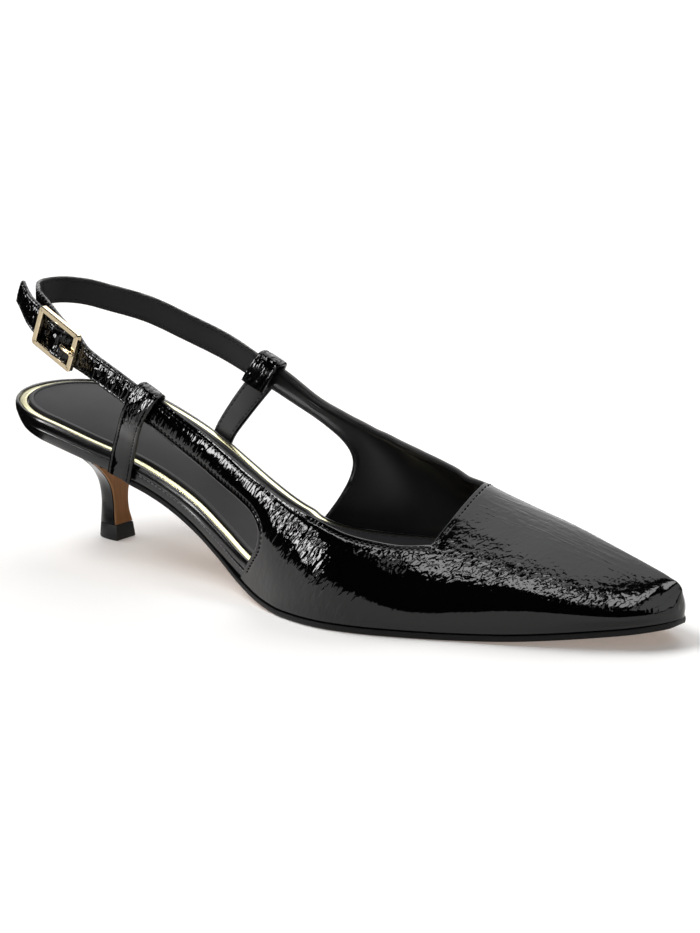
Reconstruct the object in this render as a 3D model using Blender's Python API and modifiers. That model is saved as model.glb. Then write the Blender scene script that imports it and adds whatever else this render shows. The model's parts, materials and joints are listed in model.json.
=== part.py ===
"""A right shoe: slingback pump with a kitten heel and a pointed, snipped toe.

Sizes are in millimetres along the shoe: x runs from the heel (0) to the toe,
y from the outer (lateral, negative) to the inner (medial) side, z up from the floor.
The last step moves the shoe so that its origin is at the bottom centre of its box.
"""
from collections import namedtuple
from math import cos, pi, sin

import bmesh
import bpy
import numpy as np
from mathutils import Matrix, Vector

# Driving sizes
MM = 0.001
LENGTH = 262.0
GAP = 0.3
WALL = 1.7
LEDGE = 0.6
HEEL_CENTRE = 27.5
HEEL_RADIUS = 27.6
HEEL_ROUND = 2.0
TOE_Y = 7.0
TOE_START = 248.0
TOE_ROUND = 2.4
RIDGE_FLAT = 0.25
RIDGE_LEVELS = (150.0, 190.0)
WALL_SHARE = 0.45
FLARE_SHARE = 0.75
LATERAL = -1
MEDIAL = 1

OUTSOLE_THICK = 2.0
OUTSOLE_BACK = 48.4
OUTSOLE_END = 0.3
OUTSOLE_TUCK = 4.5
OUTSOLE_SHOWN_X = 66.0
INSET_LIMIT = 0.8
RAND_START = 0.3
RAND_SHOWN = 0.2
RAND_CLEAR = 0.6
RAND_HIDES_LATERAL = (98.0, 118.0)
RAND_HIDES_MEDIAL = (84.0, 103.0)
RAND_NARROWS = (225.0, 252.0)
RAND_TOE_INSET = 1.6
RAND_END = 10.0
BAND_START = 0.15
SEAT_SHARE = 0.84
SOCK_THICK = 1.2
SOCK_INSET = 5.0
SOCK_END = 20.0
PIPING_WIDTH = 2.2
PIPING_THICK = 0.8
PIPING_INSET = 3.3
PIPING_SIDES = 6
PIPING_END = 15.0
STRAP_THICK = 1.7
STAY_THICK = 1.5
STAY_WIDTH = 9.6
TOP_PIECE_HEIGHT = 5.2
TOP_PIECE_GROW = 0.5
BREAST_THICK = 0.8
BREAST_INSET = 0.15
BUCKLE_LENGTH = 20.0
BUCKLE_WIDTH = 14.6
BUCKLE_BAR = 1.8
BUCKLE_THICK = 1.8
CENTRE_BAR = 1.5
CENTRE_BAR_DROP = 1.0
CENTRE_BAR_BITE = 0.6
PRONG_START = 4.4
PRONG_OVER = 0.3
PRONG_WIDTH = 1.5
PRONG_THICK = 1.1


class Table:
    """Rows of named columns; the first column is the key, the rest follow smooth curves."""

    def __init__(self, columns, rows):
        self.row = namedtuple("Row", columns)
        self.data = np.array(rows, dtype=float)

    def at(self, key):
        return self.row(*smooth(self.data[:, 0], self.data, key))


def smooth(keys, values, at):
    """Cubic curve through the rows of values, with slopes from their neighbours."""
    keys = np.asarray(keys, dtype=float)
    at = min(max(at, keys[0]), keys[-1])
    i = int(min(np.searchsorted(keys, at, side="right") - 1, len(keys) - 2))
    step = np.diff(keys)
    chord = np.diff(values, axis=0) / step[:, None]

    def slope(k):
        if k == 0 or k == len(keys) - 1:
            return chord[min(k, len(chord) - 1)]
        return (chord[k - 1] * step[k] + chord[k] * step[k - 1]) / (step[k - 1] + step[k])

    t = (at - keys[i]) / step[i]
    a = values[i]
    b = values[i + 1]
    m = slope(i) * step[i]
    n = slope(i + 1) * step[i]
    return (a * (2 * t**3 - 3 * t**2 + 1) + m * (t**3 - 2 * t**2 + t)
            + b * (3 * t**2 - 2 * t**3) + n * (t**3 - t**2))


def smooth_run(points, count, along=None):
    """Evenly stepped points on the smooth curve through a list of points."""
    points = np.array(points, dtype=float)
    keys = np.arange(len(points)) if along is None else along
    return [smooth(keys, points, at) for at in np.linspace(0, keys[-1], count)]


def path_run(rows, count):
    """Points on a smooth path in space, stepped by its length; x, y and z are the first columns."""
    steps = np.linalg.norm(np.diff(np.array(rows, dtype=float)[:, :3], axis=0), axis=1)
    return smooth_run(rows, count, np.concatenate([[0.0], np.cumsum(steps)]))


# Outline and bottom of the sole: half widths, height of each edge, thickness of the insole unit
SOLE = Table("x lat med z_lat z_med rand", [
    (0.0, 27.6, 27.6, 39.5, 39.5, 8.0),
    (14.0, 27.6, 27.6, 37.5, 37.5, 8.1),
    (27.5, 27.6, 27.6, 35.0, 35.2, 8.2),
    (48.0, 26.2, 26.0, 30.8, 31.2, 7.0),
    (60.0, 24.7, 24.0, 28.3, 28.6, 6.2),
    (70.0, 24.2, 22.1, 25.6, 25.6, 5.9),
    (80.0, 24.2, 20.4, 21.9, 21.2, 6.1),
    (92.0, 25.2, 19.3, 16.3, 14.9, 6.8),
    (105.0, 28.5, 21.0, 10.1, 7.9, 7.2),
    (118.0, 33.2, 25.0, 4.3, 2.7, 7.2),
    (130.0, 38.2, 28.7, 1.2, 0.6, 6.4),
    (142.0, 42.6, 31.8, 0.0, 0.0, 5.4),
    (160.0, 45.4, 34.6, 0.0, 0.0, 4.4),
    (175.0, 43.0, 35.0, 0.0, 0.0, 4.0),
    (190.0, 37.7, 33.9, 0.0, 0.0, 3.8),
    (205.0, 31.4, 31.4, 0.2, 0.2, 3.7),
    (220.0, 25.2, 28.3, 1.0, 1.0, 3.6),
    (235.0, 17.6, 24.2, 2.4, 2.4, 3.1),
    (248.0, 10.0, 19.4, 3.9, 3.9, 2.6),
    (256.0, 5.6, 16.2, 5.0, 5.0, 2.4),
    (262.0, 2.2, 13.6, 5.8, 5.8, 2.4),
])

# The last above the sole: a shoulder point on each side and the ridge between them
LAST = Table("x lat_y lat_z ridge_y ridge_z med_y med_z flare", [
    (70.0, -31.1, 58.0, 0.0, 112.0, 30.6, 58.0, 3.0),
    (84.0, -31.6, 55.0, 0.0, 106.0, 31.2, 55.0, 3.0),
    (102.0, -32.1, 48.0, 0.0, 96.0, 30.8, 48.5, 2.6),
    (125.0, -34.6, 41.5, 0.0, 82.0, 30.2, 44.5, 1.8),
    (140.0, -36.8, 36.4, 2.0, 70.0, 29.6, 40.5, 1.6),
    (153.0, -37.3, 33.0, 4.0, 60.0, 28.0, 37.5, 1.8),
    (165.0, -36.0, 29.8, 6.0, 51.0, 26.8, 33.2, 2.0),
    (175.0, -31.4, 26.8, 7.5, 44.0, 26.2, 28.5, 2.0),
    (187.0, -24.2, 23.6, 8.5, 39.4, 25.6, 25.0, 1.8),
    (205.0, -20.4, 20.6, 8.6, 35.0, 23.8, 21.8, 1.5),
    (220.0, -17.0, 18.6, 8.6, 31.5, 21.6, 19.6, 1.3),
    (235.0, -11.4, 16.2, 8.6, 27.0, 19.0, 17.2, 1.1),
    (248.0, -5.0, 14.2, 8.2, 22.9, 15.6, 15.2, 0.8),
    (256.0, -1.2, 13.4, 7.6, 20.0, 13.2, 13.8, 0.6),
    (260.0, 0.6, 12.4, 7.2, 17.2, 12.4, 12.6, 0.5),
    (262.0, 1.4, 10.8, 7.0, 13.4, 11.6, 10.8, 0.4),
])

# Lower and upper edge of the upper, from the end of its strap to the foot of the cut-out
LATERAL_CUT = [  # low_x, low_z, up_x, up_z
    (75.6, 53.2, 79.3, 62.2),
    (88.0, 47.3, 91.5, 57.0),
    (101.4, 41.4, 103.0, 51.9),
    (112.0, 36.5, 113.0, 47.3),
    (120.5, 32.5, 121.0, 43.7),
    (126.6, 28.8, 127.5, 41.0),
    (129.6, 24.4, 133.0, 38.9),
    (128.4, 18.8, 138.0, 37.1),
    (124.4, 12.8, 143.0, 35.6),
    (120.4, None, 148.5, 34.2),
]
MEDIAL_CUT = [
    (75.6, 54.0, 79.3, 62.0),
    (87.0, 50.0, 90.0, 57.4),
    (100.3, 44.9, 101.7, 51.6),
    (108.8, 41.0, 110.0, 48.9),
    (114.4, 37.3, 116.0, 47.1),
    (117.4, 33.0, 121.0, 45.8),
    (117.2, 27.6, 126.0, 44.3),
    (114.8, 21.6, 131.0, 42.8),
    (111.2, 15.4, 136.0, 41.4),
    (107.0, None, 142.0, 40.0),
]
# Feather line and topline, from the foot of the cut-out to the corner of the throat
LATERAL_QUARTER = [  # low_x, up_x, up_z
    (120.4, 148.5, 34.2),
    (134.0, 157.0, 31.9),
    (150.0, 166.0, 29.2),
    (167.0, 175.0, 26.9),
    (176.0, 181.0, 25.8),
    (184.0, 187.0, 25.7),
]
MEDIAL_QUARTER = [
    (107.0, 142.0, 40.0),
    (122.0, 151.0, 38.4),
    (140.0, 160.0, 37.5),
    (158.0, 169.0, 37.3),
    (172.0, 178.0, 37.8),
    (182.0, 185.0, 38.4),
]
THROAT_RIDGE_X = 186.0
FOREPART_FOOT_X = 193.0
CUT_RIBS = 22
QUARTER_RIBS = 15
THROAT_RIBS = 5
FOREPART_RIBS = 24
FOREPART_EASE = 1.15
ACROSS = 9

# Straps: middle line and width; the buckle strap dips under the frame and rises over its bar
BUCKLE_CENTRE = Vector((36.1, -27.0, 74.2))
BUCKLE_ALONG = Vector((0.914, -0.095, -0.395)).normalized()
BUCKLE_STRAP_FRONT = [  # x, y, z, width
    (77.1, -30.4, 57.9, 9.0),
    (66.0, -30.2, 62.9, 9.1),
    (55.0, -29.2, 67.2, 9.0),
]
BUCKLE_PASS = [  # along the buckle, outwards from its middle
    (9.8, -2.6),
    (7.8, -2.5),
    (3.4, 0.2),
    (0.0, 1.05),
    (-3.4, 0.2),
    (-7.8, -2.5),
    (-9.8, -2.6),
]
BUCKLE_STRAP_TAIL = [
    (20.2, -22.0, 81.0, 9.0),
    (13.2, -18.4, 85.4, 9.0),
]
SLING_STRAP = [
    (37.2, -23.7, 73.3, 8.0),
    (31.0, -20.9, 76.0, 7.9),
    (22.2, -16.4, 79.6, 7.8),
    (13.0, -10.2, 82.4, 7.8),
    (8.6, -3.6, 83.6, 7.8),
    (10.2, 2.4, 83.9, 7.8),
    (16.4, 7.6, 83.2, 7.7),
    (25.0, 12.4, 80.9, 7.8),
    (36.8, 18.2, 77.4, 7.7),
    (50.0, 23.2, 71.7, 7.7),
    (64.0, 27.6, 65.4, 7.8),
    (76.7, 30.0, 58.4, 8.3),
]
STRAP_RIBS = 48

# Stays: a strip up the side of the insole unit, then a loop round the strap
STAY_FOOT = Table("side x lean mid_x mid_y mid_z twist loop_y slant", [
    (-1.0, 61.8, 0.8, 66.8, -27.7, 44.2, 0.0, -30.4, -0.03),
    (1.0, 62.4, 1.0, 69.0, 28.2, 43.6, -0.2, 30.1, 0.08),
])
STAY_LOOP = [  # along the strap's width, outwards from its middle
    (-9.0, 0.9),
    (-4.8, 2.15),
    (4.5, 2.15),
    (6.0, 1.6),
    (6.5, 0.0),
    (6.0, -1.6),
    (4.5, -2.15),
    (-4.8, -2.3),
    (-6.6, -2.2),
]
STAY_RIBS = 36
LOOP_X = 77.2
LOOP_Z = 57.7
LOOP_UP = Vector((0.6, 0.0, 0.8))
LOOP_DIP = -0.44
MIDDLE_DIP = -0.4

# Heel: ribs from the top piece (0) to the seat (1)
HEEL = Table("rise back front half", [
    (0.00, 29.2, 38.2, 4.2),
    (0.10, 29.5, 37.6, 3.7),
    (0.28, 29.5, 37.2, 3.4),
    (0.45, 28.0, 37.2, 4.2),
    (0.60, 24.6, 37.5, 6.6),
    (0.72, 19.8, 38.2, 10.0),
    (0.83, 14.4, 39.6, 14.2),
    (0.92, 9.2, 42.0, 18.6),
    (1.00, 5.0, 46.6, 21.6),
])
HEEL_RIBS = 17
HEEL_ARC = 20
HEEL_FULLNESS = 0.8

# Edge profiles of the flat pieces: inset from the outline, share of the thickness
HEEL_STATIONS = 11
MIDDLE_STATIONS = 28
TOE_STATIONS = 7
TOE_TURN = 1.42
OUTSOLE_EDGE = [(0.7, 0.0), (0.0, 0.35), (0.0, 1.0)]
RAND_EDGE = [(1.2, 0.0), (0.3, 0.12), (0.1, 0.3), (0.3, 0.54), (0.7, 0.6),
             (0.2, 0.66), (0.0, 0.8), (0.4, 0.95), (1.2, 1.0), (1.9, 0.98), (2.0, SEAT_SHARE)]
SOCK_EDGE = [(0.0, 0.0), (0.0, 0.6), (0.5, 1.0)]

FINISHES = {
    "patent": ("#0b0b0c", 0.16, 0.0),
    "rand_patent": ("#121214", 0.2, 0.0),
    "sock_satin": ("#4a494c", 0.5, 0.0),
    "gold_bead": ("#d9d3a0", 0.3, 1.0),
    "sole_leather": ("#8a6a48", 0.6, 0.0),
    "breast_leather": ("#6b4524", 0.55, 0.0),
    "heel_rubber": ("#151515", 0.6, 0.0),
    "gilt_metal": ("#d8c49a", 0.25, 1.0),
}


def linear(hex_colour):
    """sRGB hex to linear RGBA."""
    parts = [int(hex_colour[i:i + 2], 16) / 255 for i in (1, 3, 5)]
    return [c / 12.92 if c <= 0.04045 else ((c + 0.055) / 1.055) ** 2.4 for c in parts] + [1.0]


def material(name):
    """Principled material for one finish, made once."""
    if name in bpy.data.materials:
        return bpy.data.materials[name]
    colour, rough, metal = FINISHES[name]
    made = bpy.data.materials.new(name)
    made.use_nodes = True
    shader = made.node_tree.nodes["Principled BSDF"]
    shader.inputs["Base Color"].default_value = linear(colour)
    shader.inputs["Roughness"].default_value = rough
    shader.inputs["Metallic"].default_value = metal
    return made


def add_object(name, verts, faces, finish, collection):
    """Mesh object from points in millimetres."""
    mesh = bpy.data.meshes.new(name)
    mesh.from_pydata([Vector(v) * MM for v in verts], [], faces)
    body = bmesh.new()
    body.from_mesh(mesh)
    bmesh.ops.remove_doubles(body, verts=body.verts, dist=0.00001)
    body.to_mesh(mesh)
    body.free()
    mesh.shade_smooth()
    mesh.set_sharp_from_angle(angle=pi / 5)
    mesh.materials.append(material(finish))
    made = bpy.data.objects.new(name, mesh)
    collection.objects.link(made)
    return made


def grid_faces(rows, columns, start=0, ring=False, loop=False, flip=False):
    """Quads of a grid of points; ring closes each row, loop joins the last row to the first."""
    faces = []
    for i in range(rows if loop else rows - 1):
        for j in range(columns if ring else columns - 1):
            k = (i + 1) % rows
            m = (j + 1) % columns
            face = [start + i * columns + j, start + k * columns + j,
                    start + k * columns + m, start + i * columns + m]
            faces.append(face[::-1] if flip else face)
    return faces


def loft(name, rings, finish, collection, loop=False, flip=False):
    """Closed solid through rings of equal size, with flat ends unless it is a loop."""
    size = len(rings[0])
    verts = [point for ring in rings for point in ring]
    faces = grid_faces(len(rings), size, ring=True, loop=loop, flip=flip)
    if not loop:
        first = list(range(size))
        last = list(range((len(rings) - 1) * size, len(rings) * size))
        faces.append(first[::-1] if flip else first)
        faces.append(last if flip else last[::-1])
    return add_object(name, verts, faces, finish, collection)


def taper(x):
    """Rounding of the toe: 1 on the sides, 0 at the tip."""
    share = max(0.0, (x - TOE_START) / (LENGTH - TOE_START))
    return max(0.0, 1.0 - share**TOE_ROUND) ** (1.0 / TOE_ROUND)


def toe_round(x, y):
    return TOE_Y + (y - TOE_Y) * taper(x)


def outline(x):
    """Lateral and medial edge of the outsole at x."""
    row = SOLE.at(x)
    if x < HEEL_CENTRE:
        half = HEEL_RADIUS * (1.0 - ((HEEL_CENTRE - x) / HEEL_CENTRE) ** HEEL_ROUND) ** (1 / HEEL_ROUND)
        return -half, half
    return toe_round(x, -row.lat), toe_round(x, row.med)


def bottom(x, y):
    """Height of the outsole's underside."""
    row = SOLE.at(x)
    share = (y + row.lat) / (row.lat + row.med)
    share = min(max(share, 0.0), 1.0)
    return max(0.0, row.z_lat + (row.z_med - row.z_lat) * share)


def insole_base(x, y):
    return bottom(x, y) + OUTSOLE_THICK + GAP


def insole_top(x, y):
    return insole_base(x, y) + SOLE.at(x).rand


def insole_seat(x, y):
    """Top of the insole inside its raised edge."""
    return insole_base(x, y) + SEAT_SHARE * SOLE.at(x).rand


def ramp(x, start, end):
    """Smooth step from 0 to 1."""
    t = min(max((x - start) / (end - start), 0.0), 1.0)
    return t * t * (3 - 2 * t)


def outsole_outline(x):
    """Edge of the outsole: tucked in under the heel seat, full width from the waist on."""
    lat, med = outline(x)
    tuck = OUTSOLE_TUCK * (1 - ramp(x, OUTSOLE_BACK, OUTSOLE_SHOWN_X))
    return lat + tuck, med - tuck


def rand_outline(x):
    """Edge of the insole unit: shown at waist and heel, inside the upper further forward."""
    lat, med = outline(x)
    hidden = LEDGE + WALL + RAND_CLEAR + RAND_TOE_INSET * ramp(x, *RAND_NARROWS)
    lat_inset = RAND_SHOWN + (hidden - RAND_SHOWN) * ramp(x, *RAND_HIDES_LATERAL)
    med_inset = RAND_SHOWN + (hidden - RAND_SHOWN) * ramp(x, *RAND_HIDES_MEDIAL)
    lat_inset = min(lat_inset, INSET_LIMIT * abs(lat - TOE_Y))
    med_inset = min(med_inset, INSET_LIMIT * abs(med - TOE_Y))
    return lat + lat_inset, med - med_inset


def section(x, side):
    """Control points (y, z) of one half of the last, from the feather line to the ridge."""
    row = LAST.at(x)
    lat, med = outline(x)
    foot_y = lat + LEDGE if side == LATERAL else med - LEDGE
    if abs(foot_y - TOE_Y) < LEDGE or x >= LENGTH:
        foot_y = TOE_Y
    foot = np.array([foot_y, insole_base(x, foot_y)])
    mark_y, mark_z = (row.lat_y, row.lat_z) if side == LATERAL else (row.med_y, row.med_z)
    ridge = np.array([toe_round(x, row.ridge_y), row.ridge_z])
    shoulder = np.array([toe_round(x, mark_y), mark_z])
    wall = foot + np.array([side * FLARE_SHARE * row.flare * taper(x), WALL_SHARE * (mark_z - foot[1])])
    lean = 2 * shoulder - wall
    level_y = row.ridge_y + RIDGE_FLAT * (mark_y - row.ridge_y)
    level = np.array([toe_round(x, level_y), row.ridge_z])
    top = lean + (level - lean) * ramp(x, *RIDGE_LEVELS)
    crown = (16 * shoulder - foot - 4 * wall - 4 * top - ridge) / 6
    return foot, wall, crown, top, ridge


def last_point(x, v, side):
    """Point of the last at x, from the feather line (v = 0) to the ridge (v = 1)."""
    a, b, c, d, e = section(x, side)
    w = 1 - v
    y, z = a * w**4 + 4 * b * w**3 * v + 6 * c * w * w * v * v + 4 * d * w * v**3 + e * v**4
    return x, y, z


def height_share(x, z, side):
    """The v at which the last reaches height z."""
    if z is None:
        return 0.0
    steps = np.linspace(0, 1, 201)
    heights = [last_point(x, v, side)[2] for v in steps]
    peak = int(np.argmax(heights))
    return float(np.interp(z, heights[:peak + 1], steps[:peak + 1]))


def upper_half(cut, quarter, side):
    """Ribs of one side of the upper, each from its lower to its upper edge."""
    low = []
    high = []
    cut_low = [(x, height_share(x, z, side)) for x, z, _, _ in cut]
    cut_high = [(x, height_share(x, z, side)) for _, _, x, z in cut]
    low += smooth_run(cut_low, CUT_RIBS)
    high += smooth_run(cut_high, CUT_RIBS)
    low += smooth_run([(x, 0.0) for x, _, _ in quarter], QUARTER_RIBS)[1:]
    high += smooth_run([(x, height_share(x, z, side)) for _, x, z in quarter], QUARTER_RIBS)[1:]
    corner_x, corner_v = high[-1]
    foot_x = low[-1][0]
    for t in np.linspace(0, 1, THROAT_RIBS)[1:]:
        low.append((foot_x + (FOREPART_FOOT_X - foot_x) * t, 0.0))
        high.append((corner_x + (THROAT_RIDGE_X - corner_x) * t, corner_v + (1 - corner_v) * t))
    for t in np.linspace(0, 1, FOREPART_RIBS)[1:]:
        share = sin(t * pi / 2) ** FOREPART_EASE
        low.append((FOREPART_FOOT_X + (LENGTH - FOREPART_FOOT_X) * share, 0.0))
        high.append((THROAT_RIDGE_X + (LENGTH - THROAT_RIDGE_X) * share, 1.0))
    points = []
    for (low_x, low_v), (high_x, high_v) in zip(low, high):
        for t in np.linspace(0, 1, ACROSS):
            x = low_x + (high_x - low_x) * t
            points.append(last_point(x, low_v + (high_v - low_v) * t, side))
    return points, len(low)


def make_upper(collection):
    lateral, ribs = upper_half(LATERAL_CUT, LATERAL_QUARTER, LATERAL)
    medial, _ = upper_half(MEDIAL_CUT, MEDIAL_QUARTER, MEDIAL)
    faces = grid_faces(ribs, ACROSS)
    faces += grid_faces(ribs, ACROSS, start=len(lateral), flip=True)
    upper = add_object("upper", lateral + medial, faces, "patent", collection)
    shell = upper.modifiers.new("wall", "SOLIDIFY")
    shell.thickness = WALL * MM
    shell.offset = -1.0
    return upper


def stations(start, end):
    """Places along the shoe, closer together round the heel and the toe."""
    places = [start]
    if start < HEEL_CENTRE:
        turns = np.linspace(0, pi / 2, HEEL_STATIONS)
        places = [HEEL_CENTRE - (HEEL_CENTRE - start) * cos(a) for a in turns]
    middle = list(np.linspace(HEEL_CENTRE, TOE_START, MIDDLE_STATIONS))
    toe = [TOE_START + (LENGTH - TOE_START) * sin(a) for a in np.linspace(0, TOE_TURN, TOE_STATIONS)]
    places += [x for x in middle + toe[1:] if places[-1] + 1.0 < x < end - 0.5]
    return places + [end]


def plate(name, edges, base, thick, profile, span, finish, collection, top_share=1.0):
    """Sheet between two edges that follows a base surface, with a shaped side."""
    rings = []
    for x in stations(*span):
        lat, med = edges(x)
        half = (med - lat) / 2
        height = thick(x)
        ring = []
        for inset, share in profile:
            y = lat + min(inset, INSET_LIMIT * half)
            ring.append((x, y, base(x, y) + share * height))
        middle = (lat + med) / 2
        ring.append((x, middle, base(x, middle) + top_share * height))
        for inset, share in reversed(profile):
            y = med - min(inset, INSET_LIMIT * half)
            ring.append((x, y, base(x, y) + share * height))
        ring.append((x, middle, base(x, middle)))
        rings.append(ring)
    return loft(name, rings, finish, collection)


def make_outsole(collection):
    return plate("outsole", outsole_outline, bottom, lambda x: OUTSOLE_THICK, OUTSOLE_EDGE,
                 (OUTSOLE_BACK, LENGTH - OUTSOLE_END), "sole_leather", collection)


def make_rand(collection):
    return plate("insole_rand", rand_outline, insole_base, lambda x: SOLE.at(x).rand, RAND_EDGE,
                 (RAND_START, LENGTH - RAND_END), "rand_patent", collection, SEAT_SHARE)


def inner_edges(x, inset):
    """Edges of the insole's top, drawn in by an inset."""
    if x < HEEL_CENTRE:
        share = (HEEL_CENTRE - x) / (HEEL_CENTRE - inset)
        half = (HEEL_RADIUS - RAND_SHOWN - inset) * max(0.0, 1.0 - share**HEEL_ROUND) ** (1 / HEEL_ROUND)
        return -half, half
    lat, med = rand_outline(x)
    step = min(inset, INSET_LIMIT * (med - lat) / 2)
    return lat + step, med - step


def make_sock(collection):
    return plate("sock", lambda x: inner_edges(x, SOCK_INSET), lambda x, y: insole_seat(x, y) + GAP,
                 lambda x: SOCK_THICK, SOCK_EDGE, (SOCK_INSET + BAND_START, LENGTH - SOCK_END),
                 "sock_satin", collection)


def make_piping(collection):
    """Flat bead on the rim of the insole, one closed loop."""
    span = (PIPING_INSET + BAND_START, LENGTH - PIPING_END)
    line = []
    for x in stations(*span):
        line.append(Vector((x, inner_edges(x, PIPING_INSET)[0], 0)))
    for x in reversed(stations(*span)):
        line.append(Vector((x, inner_edges(x, PIPING_INSET)[1], 0)))
    for point in line:
        point.z = insole_seat(point.x, point.y) + PIPING_THICK / 2 + GAP
    rings = []
    for i, point in enumerate(line):
        along = (line[(i + 1) % len(line)] - line[i - 1]).normalized()
        side = along.cross(Vector((0, 0, 1))).normalized() * (PIPING_WIDTH / 2)
        up = side.cross(along).normalized() * (PIPING_THICK / 2)
        rings.append([point + side * cos(a) + up * sin(a)
                      for a in np.linspace(0, 2 * pi, PIPING_SIDES + 1)[:-1]])
    return loft("gold_piping", rings, "gold_bead", collection, loop=True)


def ribbon(name, middle, across, thick, finish, collection):
    """Flat strip: a middle line, and half its width as a vector at each point."""
    rings = []
    for i, point in enumerate(middle):
        ahead = middle[min(i + 1, len(middle) - 1)] - middle[max(i - 1, 0)]
        out = across[i].cross(ahead).normalized() * thick / 2
        rings.append([point - across[i] + out, point + across[i] + out,
                      point + across[i] - out, point - across[i] - out])
    return loft(name, rings, finish, collection, flip=True)


def make_strap(name, rows, collection):
    """Strap on edge along its middle line: rows of x, y, z and width."""
    run = path_run(rows, STRAP_RIBS)
    middle = [Vector(row[:3]) for row in run]
    across = []
    for i, row in enumerate(run):
        ahead = (middle[min(i + 1, len(run) - 1)] - middle[max(i - 1, 0)]).normalized()
        across.append((Vector((0, 0, 1)) - ahead * ahead.z).normalized() * row[3] / 2)
    return ribbon(name, middle, across, STRAP_THICK, "patent", collection)


def make_buckle_strap(collection):
    """Outer strap: from the loop, through the buckle, to its free tail."""
    turn = buckle_matrix().to_3x3()
    width = BUCKLE_STRAP_FRONT[-1][3]
    rows = list(BUCKLE_STRAP_FRONT)
    for along, out in BUCKLE_PASS:
        rows.append((*(BUCKLE_CENTRE + turn @ Vector((along, 0, out))), width))
    return make_strap("buckle_strap", rows + BUCKLE_STRAP_TAIL, collection)


def make_stay(name, side, collection):
    """Strip from the side of the insole unit up to a loop round the strap."""
    place = STAY_FOOT.at(side)
    end = 0 if side == LATERAL else 1
    edge = rand_outline(place.x)[end]
    ahead = rand_outline(place.x + 1)[end]
    clear = edge + side * (GAP + STAY_THICK / 2 + RAND_SHOWN)
    foot_z = insole_base(place.x, edge)
    rim_z = insole_top(place.x, edge)
    foot_across = Vector((1, ahead - edge, insole_top(place.x + 1, ahead) - rim_z)).normalized()
    rows = []
    for step, z in ((-place.lean, foot_z), (0.0, (foot_z + rim_z) / 2), (place.lean, rim_z)):
        rows.append((place.x + step, clear, z, *foot_across))
    turn = Vector((1, place.twist, MIDDLE_DIP)).normalized()
    rows.append((place.mid_x, place.mid_y, place.mid_z, *turn))
    loop_across = Vector((1, place.slant, LOOP_DIP)).normalized()
    for up, away in STAY_LOOP:
        point = Vector((LOOP_X, place.loop_y + side * away, LOOP_Z)) + LOOP_UP * up
        rows.append((*point, *loop_across))
    run = path_run(rows, STAY_RIBS)
    middle = [Vector(row[:3]) for row in run]
    across = [Vector(row[3:]).normalized() * (STAY_WIDTH / 2 * side) for row in run]
    return ribbon(name, middle, across, STAY_THICK, "patent", collection)


def heel_ring(back, front, half, height):
    """D-shaped ring: a round back and a flat front face."""
    ring = []
    for a in np.linspace(-pi / 2, pi / 2, HEEL_ARC):
        x = front - (front - back) * cos(a) ** HEEL_FULLNESS
        y = half * sin(a)
        ring.append((x, y, height(x, y)))
    return ring


def heel_ribs():
    """Rings of the heel from the top piece to the seat under the insole."""
    foot = TOP_PIECE_HEIGHT + GAP
    top = HEEL.at(1.0)
    seat = heel_ring(top.back, top.front, top.half, lambda x, y: insole_base(x, y) - GAP)
    rings = []
    for t in np.linspace(0, 1, HEEL_RIBS):
        row = HEEL.at(t)
        ring = heel_ring(row.back, row.front, row.half, lambda x, y: 0.0)
        rings.append([(x, y, foot + t * (end[2] - foot)) for (x, y, _), end in zip(ring, seat)])
    return rings


def make_heel(collection):
    return loft("heel", heel_ribs(), "patent", collection)


def make_breast(collection):
    """Thin leather cover on the flat front of the heel."""
    rings = []
    for rib in heel_ribs():
        lateral = Vector(rib[0]) + Vector((GAP, BREAST_INSET, 0))
        medial = Vector(rib[-1]) + Vector((GAP, -BREAST_INSET, 0))
        front = Vector((BREAST_THICK, 0, 0))
        rings.append([lateral, medial, medial + front, lateral + front])
    for point in rings[-1]:
        point.z -= GAP
    return loft("heel_breast", rings, "breast_leather", collection)


def make_top_piece(collection):
    row = HEEL.at(0.0)
    rings = []
    for z, grow in ((0.0, TOP_PIECE_GROW), (TOP_PIECE_HEIGHT, 0.0)):
        front = row.front + GAP + BREAST_THICK + grow
        rings.append(heel_ring(row.back - grow, front, row.half + grow, lambda x, y: z))
    return loft("top_piece", rings, "heel_rubber", collection)


def buckle_matrix():
    """Place of the buckle: x along the strap, y across it, z outwards."""
    up = (Vector((0, 0, 1)) - BUCKLE_ALONG * BUCKLE_ALONG.z).normalized()
    turn = Matrix((BUCKLE_ALONG, up, BUCKLE_ALONG.cross(up))).transposed().to_4x4()
    return Matrix.Translation(BUCKLE_CENTRE * MM) @ turn


def box(name, size, centre, collection):
    """Box in the buckle's own axes."""
    bpy.ops.mesh.primitive_cube_add(size=1.0)
    made = bpy.context.object
    made.name = name
    stretch = Matrix.Diagonal((*(Vector(size) * MM), 1))
    made.data.transform(Matrix.Translation(Vector(centre) * MM) @ stretch)
    made.matrix_world = buckle_matrix()
    for old in list(made.users_collection):
        old.objects.unlink(made)
    collection.objects.link(made)
    return made


def make_buckle(collection, cutters):
    """Square frame with a low centre bar, cut as one plate with two windows."""
    frame = box("buckle_frame", (BUCKLE_LENGTH, BUCKLE_WIDTH, BUCKLE_THICK), (0, 0, 0), collection)
    frame.data.materials.append(material("gilt_metal"))
    inner_width = BUCKLE_WIDTH - 2 * BUCKLE_BAR
    inner_size = (BUCKLE_LENGTH - 2 * BUCKLE_BAR, inner_width, BUCKLE_WIDTH)
    window = box("buckle_window", inner_size, (0, 0, 0), cutters)
    bar = box("buckle_bar", (CENTRE_BAR, inner_width + 2 * CENTRE_BAR_BITE, CENTRE_BAR),
              (0, 0, -CENTRE_BAR_DROP), cutters)
    for cutter, action in ((window, "DIFFERENCE"), (bar, "UNION")):
        cutter.hide_render = True
        cutter.display_type = "WIRE"
        step = frame.modifiers.new(action.lower(), "BOOLEAN")
        step.operation = action
        step.object = cutter
    return frame


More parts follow.
